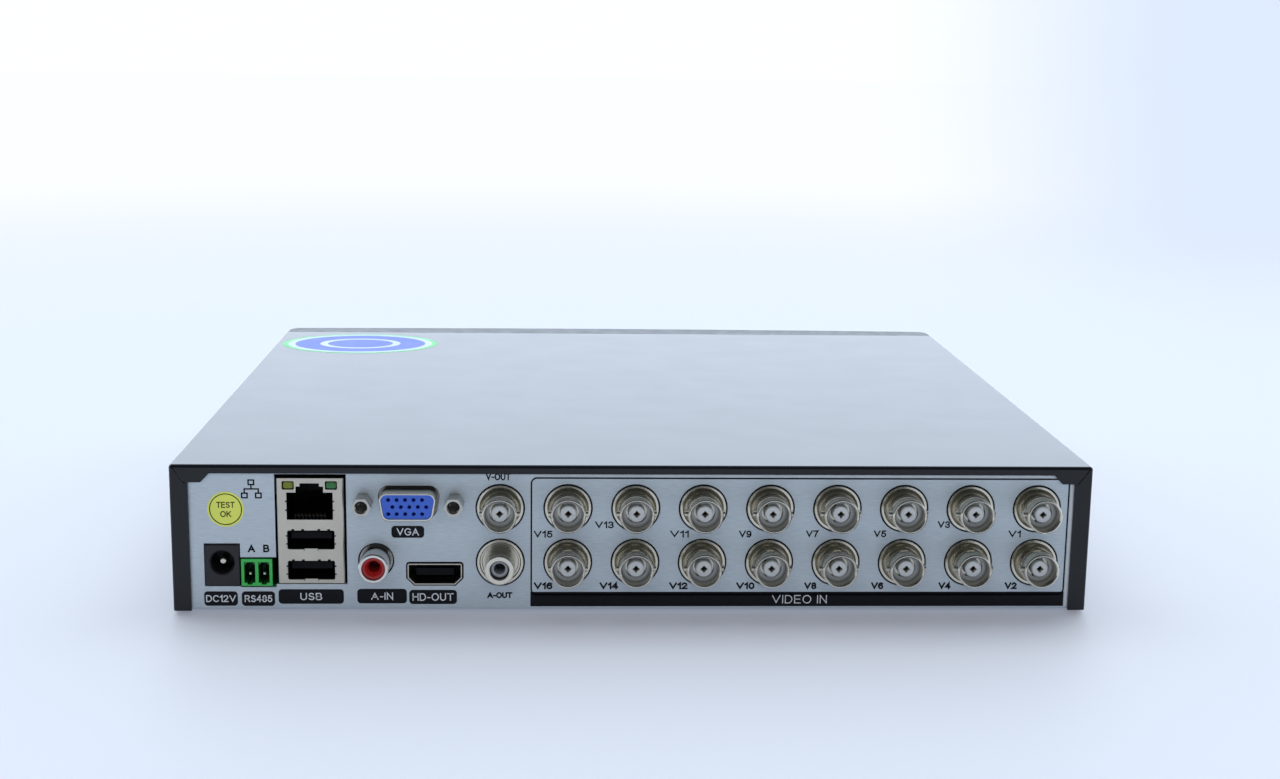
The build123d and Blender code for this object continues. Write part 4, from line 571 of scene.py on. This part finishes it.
def print_words():
    """Dark words, channel numbers, the frame line round the inputs, and the network sign."""
    ink = bmesh.new()
    for number, place in CHANNELS.items():
        wide = TWO_DIGIT_WIDTH if number > 9 else CHANNEL_WIDTH
        weight = LOWER_WEIGHT if number % 2 == 0 else UPPER_WEIGHT
        add_letters(ink, f"V{number}", *centred(*place, wide, CHANNEL_HEIGHT), *INK, weight=weight)
    for text, place, size, weight in WORDS:
        add_letters(ink, text, *centred(*place, *size), *INK, weight=weight)
    low, line = BAR_TOP - FRAME_UNDER_BAR, FRAME_LINE
    outer = rounded_box(FRAME_LEFT, low, FRAME_RIGHT, FRAME_TOP, FRAME_CORNER)
    inner = rounded_box(FRAME_LEFT + line, low + line, FRAME_RIGHT - line, FRAME_TOP - line,
                        FRAME_CORNER - line)
    add_band(ink, outer, inner, *INK)
    for u, v in NETWORK_BOXES:
        outer, inner = (
            rounded_box(u - half_u, v - half_v, u + half_u, v + half_v, corner)
            for half_u, half_v, corner in (NETWORK_BOX_OUTER, NETWORK_BOX_INNER)
        )
        add_band(ink, outer, inner, *INK)
    for low, high in NETWORK_LINES:
        add_slab(ink, rounded_box(*low, *high, NETWORK_LINE_CORNER), *INK)
    add_piece("panel_words", ink, PANEL, "ink_dark")


def bare_margin():
    """The bare strips of sheet between the frame line and the cover's return."""
    strips = bmesh.new()
    for low, high in BARE_STRIPS:
        add_slab(strips, rounded_box(*low, *high, BARE_CORNER), *BARE_SHEET)
    add_piece("bare_margin", strips, PANEL, "bare_edge")


def stick_labels():
    """The round inspection sticker on the panel, and the oval sticker on the cover."""
    disc, ring = bmesh.new(), bmesh.new()
    u, v = INSPECTION_PLACE
    add_slab(disc, ellipse(u, v, INSPECTION_RADIUS, INSPECTION_RADIUS), *INSPECTION_SHEET)
    outer, inner = (ellipse(u, v, radius, radius) for radius in INSPECTION_RING)
    add_band(ring, outer, inner, *INSPECTION_INK)
    for text, raised, wide in INSPECTION_WORDS:
        add_letters(ring, text, *centred(u, v + raised, wide, INSPECTION_WORD_HEIGHT), *INSPECTION_INK,
                    weight=INSPECTION_WEIGHT)
    add_piece("inspection_sticker", disc, PANEL, "sticker_lime")
    add_piece("inspection_print", ring, PANEL, "ink_dark")
    for name, finish_name, *shares in OVAL_BANDS:
        band = bmesh.new()
        outer, inner = (
            ellipse(*OVAL_PLACE, OVAL_SIZE[0] * share, OVAL_SIZE[1] * share) for share in shares
        )
        if shares[1]:
            add_band(band, outer, inner, *INK)
        else:
            add_slab(band, outer, *INK)
        add_piece(name, band, TOP, finish_name)


print_pills()
print_words()
bare_margin()
stick_labels()

# ---------------------------------------------------------------- contacts and button signs
# the network socket's wires, as (reach, height) along each, and the comb between them
WIRES = 8
WIRE_PITCH = 1.02
WIRE_HALF = 0.16
WIRE_PATH = ((-1.3, 26.7), (-1.9, 27.3), (-10.6, 30.5), (-12.2, 30.7))
WIRE_CORNERS = ((-1, -1), (1, -1), (1, 1), (-1, 1))
COMB_HALF = 0.22
COMB_RISE = (26.0, 27.4)
COMB_REACH = (-3.0, -0.3)
COMB_CORNER = 0.1

# strips under the tongues: heights from the socket's middle, and how far in they reach
USB_STRIPS = (-3.5, -1.0, 1.0, 3.5)
USB_STRIP_HALF = 0.5
USB_RISE = (-0.16, -0.05)
USB_REACH = (-9.0, -2.2)
USB_CORNER = 0.04
HDMI_STRIPS = 10
HDMI_STRIP_HALF = 0.22
HDMI_RISE = (-0.78, -0.7)
HDMI_REACH = (-8.0, -1.6)
HDMI_CORNER = 0.03

# each button's sign, as its lines and their width
BUTTON_SIGNS = {
    "power_button": ([arc(0, 0, 1.7, 1.7, 125, 415, 24), [(0, 0.5), (0, 2.1)]], 0.4),
    "menu_button": ([[(-1.6, v), (1.6, v)] for v in (-1.1, 0, 1.1)], 0.35),
    "up_button": ([[(-1.5, -0.6), (0, 0.9), (1.5, -0.6)]], 0.45),
    "down_button": ([[(-1.5, 0.6), (0, -0.9), (1.5, 0.6)]], 0.45),
}
BUTTON_SIGN_HEIGHTS = (-0.3, 0.03)


def add_wire(builder, u):
    """One square spring wire of the network socket, bent along its path."""
    rings = [
        [builder.verts.new((u + du * WIRE_HALF, v + dv * WIRE_HALF, reach)) for du, dv in WIRE_CORNERS]
        for reach, v in WIRE_PATH
    ]
    for near, far in zip(rings, rings[1:]):
        for k in range(4):
            m = (k + 1) % 4
            builder.faces.new((near[k], near[m], far[m], far[k]))
    builder.faces.new(rings[0])
    builder.faces.new(reversed(rings[-1]))


def add_strip(builder, u, v, half, rise, reach, corner):
    """A small slab about u, between two heights from v, that reaches into the panel."""
    add_slab(builder, rounded_box(u - half, v + rise[0], u + half, v + rise[1], corner), *reach)


def fit_contacts():
    """Spring wires and their comb in the network socket, and strips under both kinds of tongue."""
    wires, comb, strips = bmesh.new(), bmesh.new(), bmesh.new()
    u, _ = panel_place("lan_socket")
    places = [u + WIRE_PITCH * (k - (WIRES - 1) / 2) for k in range(WIRES)]
    for u in places:
        add_wire(wires, u)
    bmesh.ops.recalc_face_normals(wires, faces=wires.faces)
    for k in range(WIRES + 1):
        add_strip(comb, places[0] + WIRE_PITCH * (k - 0.5), 0, COMB_HALF, COMB_RISE, COMB_REACH,
                  COMB_CORNER)
    for name in ("usb_upper", "usb_lower"):
        u, v = panel_place(name)
        for offset in USB_STRIPS:
            add_strip(strips, u + offset, v, USB_STRIP_HALF, USB_RISE, USB_REACH, USB_CORNER)
    u, v = panel_place("hdmi_socket")
    for k in range(HDMI_STRIPS):
        add_strip(strips, u + k - (HDMI_STRIPS - 1) / 2, v, HDMI_STRIP_HALF, HDMI_RISE, HDMI_REACH,
                  HDMI_CORNER)
    # the spring wires and strips are painted dark gold, as painted shade inside their sockets
    add_piece("lan_wires", wires, PANEL, "wire_gold")
    add_piece("lan_comb", comb, PANEL, "jack_black")
    add_piece("socket_strips", strips, PANEL, "wire_gold")


def mark_buttons():
    """Plain raised signs on the four front buttons."""
    for node, (lines, width) in BUTTON_SIGNS.items():
        low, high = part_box(node)
        centre = (low + high) / 2
        front = Matrix(
            (
                (MM, 0, 0, centre.x),
                (0, 0, -MM, low.y),
                (0, MM, 0, centre.z),
                (0, 0, 0, 1),
            )
        )
        sign = bmesh.new()
        for line in lines:
            add_stroke(sign, line, width / 2, *BUTTON_SIGN_HEIGHTS)
        bmesh.ops.recalc_face_normals(sign, faces=sign.faces)
        add_piece(f"{node}_sign", sign, front, "ink_white", body=node)


fit_contacts()
mark_buttons()

# ---------------------------------------------------------------- stage, light and camera
# the camera, fitted to the outline of the case in the photo
CAMERA_PLACE = (0.023035, 0.59654, 0.15941)
CAMERA_HEADING = math.radians(177.196)
CAMERA_TILT = math.radians(78.841)
CAMERA_ROLL = math.radians(0.8245)
CAMERA_LENS = 50.84
SENSOR_WIDTH = 36.0
CLIP_NEAR = 0.01
CLIP_FAR = 50

FLOOR_RADIUS = 6.0
FLOOR_STEPS = 96
FLOOR_COLOR = (0.47, 0.495, 0.53)
FLOOR_ROUGHNESS = 0.6
FLOOR_GLOW = (0.88, 0.92, 1.10)
FLOOR_GLOW_STRENGTH = 0.19
# the floor turns into the backdrop between these distances from the object
FADE = (0.3, 1.5)

# the backdrop as it is seen: nearly white, and bluer on one side, where a heading goes past
# both of these values; on the floor, headings start 0.6 m out from the object, hence the shift
BACKDROP_WHITE = (0.95, 0.98, 1.02)
BACKDROP_BLUE = (0.72, 0.81, 1.0)
BACKDROP_STRENGTH = 1.03
SKY_WHITE = (0.95, 0.98, 1.0)
SKY_BLUE = (0.706, 0.795, 0.98)
SKY_STRENGTH = 1.05
BLUE_SHIFT = (0, -0.6, 0)
BLUE_X = (-0.16, -0.34)
BLUE_Y = (-0.6, -0.9)

# the world's light on the object: its colour, and strengths by direction as start, end, low, high
WORLD_COLOR = (0.79, 0.90, 1.05)
BEHIND = (0.3, -0.6, 0.12, 2.6)
RISE = (0.1, 0.32, 0.84, 1.16)
ABOVE = (0.35, 0.8, 1.0, 0.4)

# each lamp's name, place, aim, size and power
LAMPS = (
    ("overhead", (0.0, -0.3, 1.2), (0, 0.1, 0), (1.6, 0.9), 9),
    ("front_fill", (0.1, 1.5, 0.9), (0, 0.1, 0), (1.8, 0.9), 7.5),
)


def smooth(tree, source, start, end, low=0, high=1):
    """A soft step of the source, from low at start to high at end."""
    return map_range(tree, source, start, end, low, high, curve="SMOOTHSTEP")


def blue_side(tree, direction):
    """How much a direction lies on the backdrop's bluer side, from 0 to 1."""
    split = add_node(tree, "ShaderNodeSeparateXYZ", {"Vector": direction})
    side = smooth(tree, split.outputs["X"], *BLUE_X)
    deep = smooth(tree, split.outputs["Y"], *BLUE_Y)
    return multiply(tree, side, deep)


def build_stage():
    """A wide pale floor that brightens into the backdrop far from the object."""
    builder = bmesh.new()
    bmesh.ops.create_circle(builder, cap_ends=True, segments=FLOOR_STEPS, radius=FLOOR_RADIUS)
    mesh = bpy.data.meshes.new("floor")
    builder.to_mesh(mesh)
    builder.free()
    floor = bpy.data.objects.new("floor", mesh)
    bpy.context.scene.collection.objects.link(floor)
    material, shader = new_material("floor_pale", FLOOR_COLOR, FLOOR_ROUGHNESS)
    shader.inputs["Emission Color"].default_value = (*FLOOR_GLOW, 1)
    shader.inputs["Emission Strength"].default_value = FLOOR_GLOW_STRENGTH
    tree = material.node_tree
    place = add_node(tree, "ShaderNodeTexCoord").outputs["Object"]
    shifted = add_node(tree, "ShaderNodeVectorMath", {0: place, 1: BLUE_SHIFT}).outputs["Vector"]
    heading = add_node(tree, "ShaderNodeVectorMath", {0: shifted}, operation="NORMALIZE")
    hue = blend(tree, blue_side(tree, heading.outputs["Vector"]), BACKDROP_WHITE, BACKDROP_BLUE)
    glow = add_node(tree, "ShaderNodeEmission", {"Color": hue, "Strength": BACKDROP_STRENGTH})
    distance = add_node(tree, "ShaderNodeVectorMath", {0: place}, operation="LENGTH")
    fade = smooth(tree, distance.outputs["Value"], *FADE)
    inputs = {"Fac": fade, 1: shader.outputs["BSDF"], 2: glow.outputs["Emission"]}
    mixed = add_node(tree, "ShaderNodeMixShader", inputs)
    tree.links.new(mixed.outputs["Shader"], tree.nodes["Material Output"].inputs["Surface"])
    mesh.materials.append(material)


def build_world():
    """Soft light from all round, brightest behind the object and dimmer above the camera."""
    world = bpy.data.worlds.new("studio")
    bpy.context.scene.world = world
    world.use_nodes = True
    tree = world.node_tree
    background = tree.nodes["Background"]
    direction = add_node(tree, "ShaderNodeTexCoord").outputs["Generated"]
    split = add_node(tree, "ShaderNodeSeparateXYZ", {"Vector": direction})
    behind = smooth(tree, split.outputs["Y"], *BEHIND)
    rise = smooth(tree, split.outputs["Z"], *RISE)
    above = smooth(tree, split.outputs["Z"], *ABOVE)
    light = multiply(tree, multiply(tree, behind, rise), above)
    seen = add_node(tree, "ShaderNodeLightPath").outputs["Is Camera Ray"]
    strength = blend(tree, seen, light, SKY_STRENGTH, data_type="FLOAT")
    sky = blend(tree, blue_side(tree, direction), SKY_WHITE, SKY_BLUE)
    color = blend(tree, seen, WORLD_COLOR, sky)
    tree.links.new(strength, background.inputs["Strength"])
    tree.links.new(color, background.inputs["Color"])


def add_light(name, place, aim, size, power):
    """A large soft lamp at a place, aimed at a point. Shiny metal doesn't show it."""
    lamp = bpy.data.lights.new(name, "AREA")
    lamp.shape = "RECTANGLE"
    lamp.size, lamp.size_y = size
    lamp.energy = power
    holder = bpy.data.objects.new(name, lamp)
    bpy.context.scene.collection.objects.link(holder)
    holder.location = place
    holder.visible_glossy = False
    holder.rotation_euler = (Vector(aim) - Vector(place)).to_track_quat("-Z", "Y").to_euler()


def build_camera():
    """The camera behind and above the object, looking at the rear panel."""
    lens = bpy.data.cameras.new("camera")
    lens.lens = CAMERA_LENS
    lens.sensor_width = SENSOR_WIDTH
    lens.clip_start = CLIP_NEAR
    lens.clip_end = CLIP_FAR
    camera = bpy.data.objects.new("camera", lens)
    bpy.context.scene.collection.objects.link(camera)
    turn = (
        Matrix.Rotation(CAMERA_HEADING, 4, "Z")
        @ Matrix.Rotation(CAMERA_TILT, 4, "X")
        @ Matrix.Rotation(CAMERA_ROLL, 4, "Z")
    )
    camera.matrix_world = Matrix.Translation(CAMERA_PLACE) @ turn
    bpy.context.scene.camera = camera


build_stage()
build_world()
for lamp in LAMPS:
    add_light(*lamp)
build_camera()
bpy.context.scene.view_settings.view_transform = "Standard"
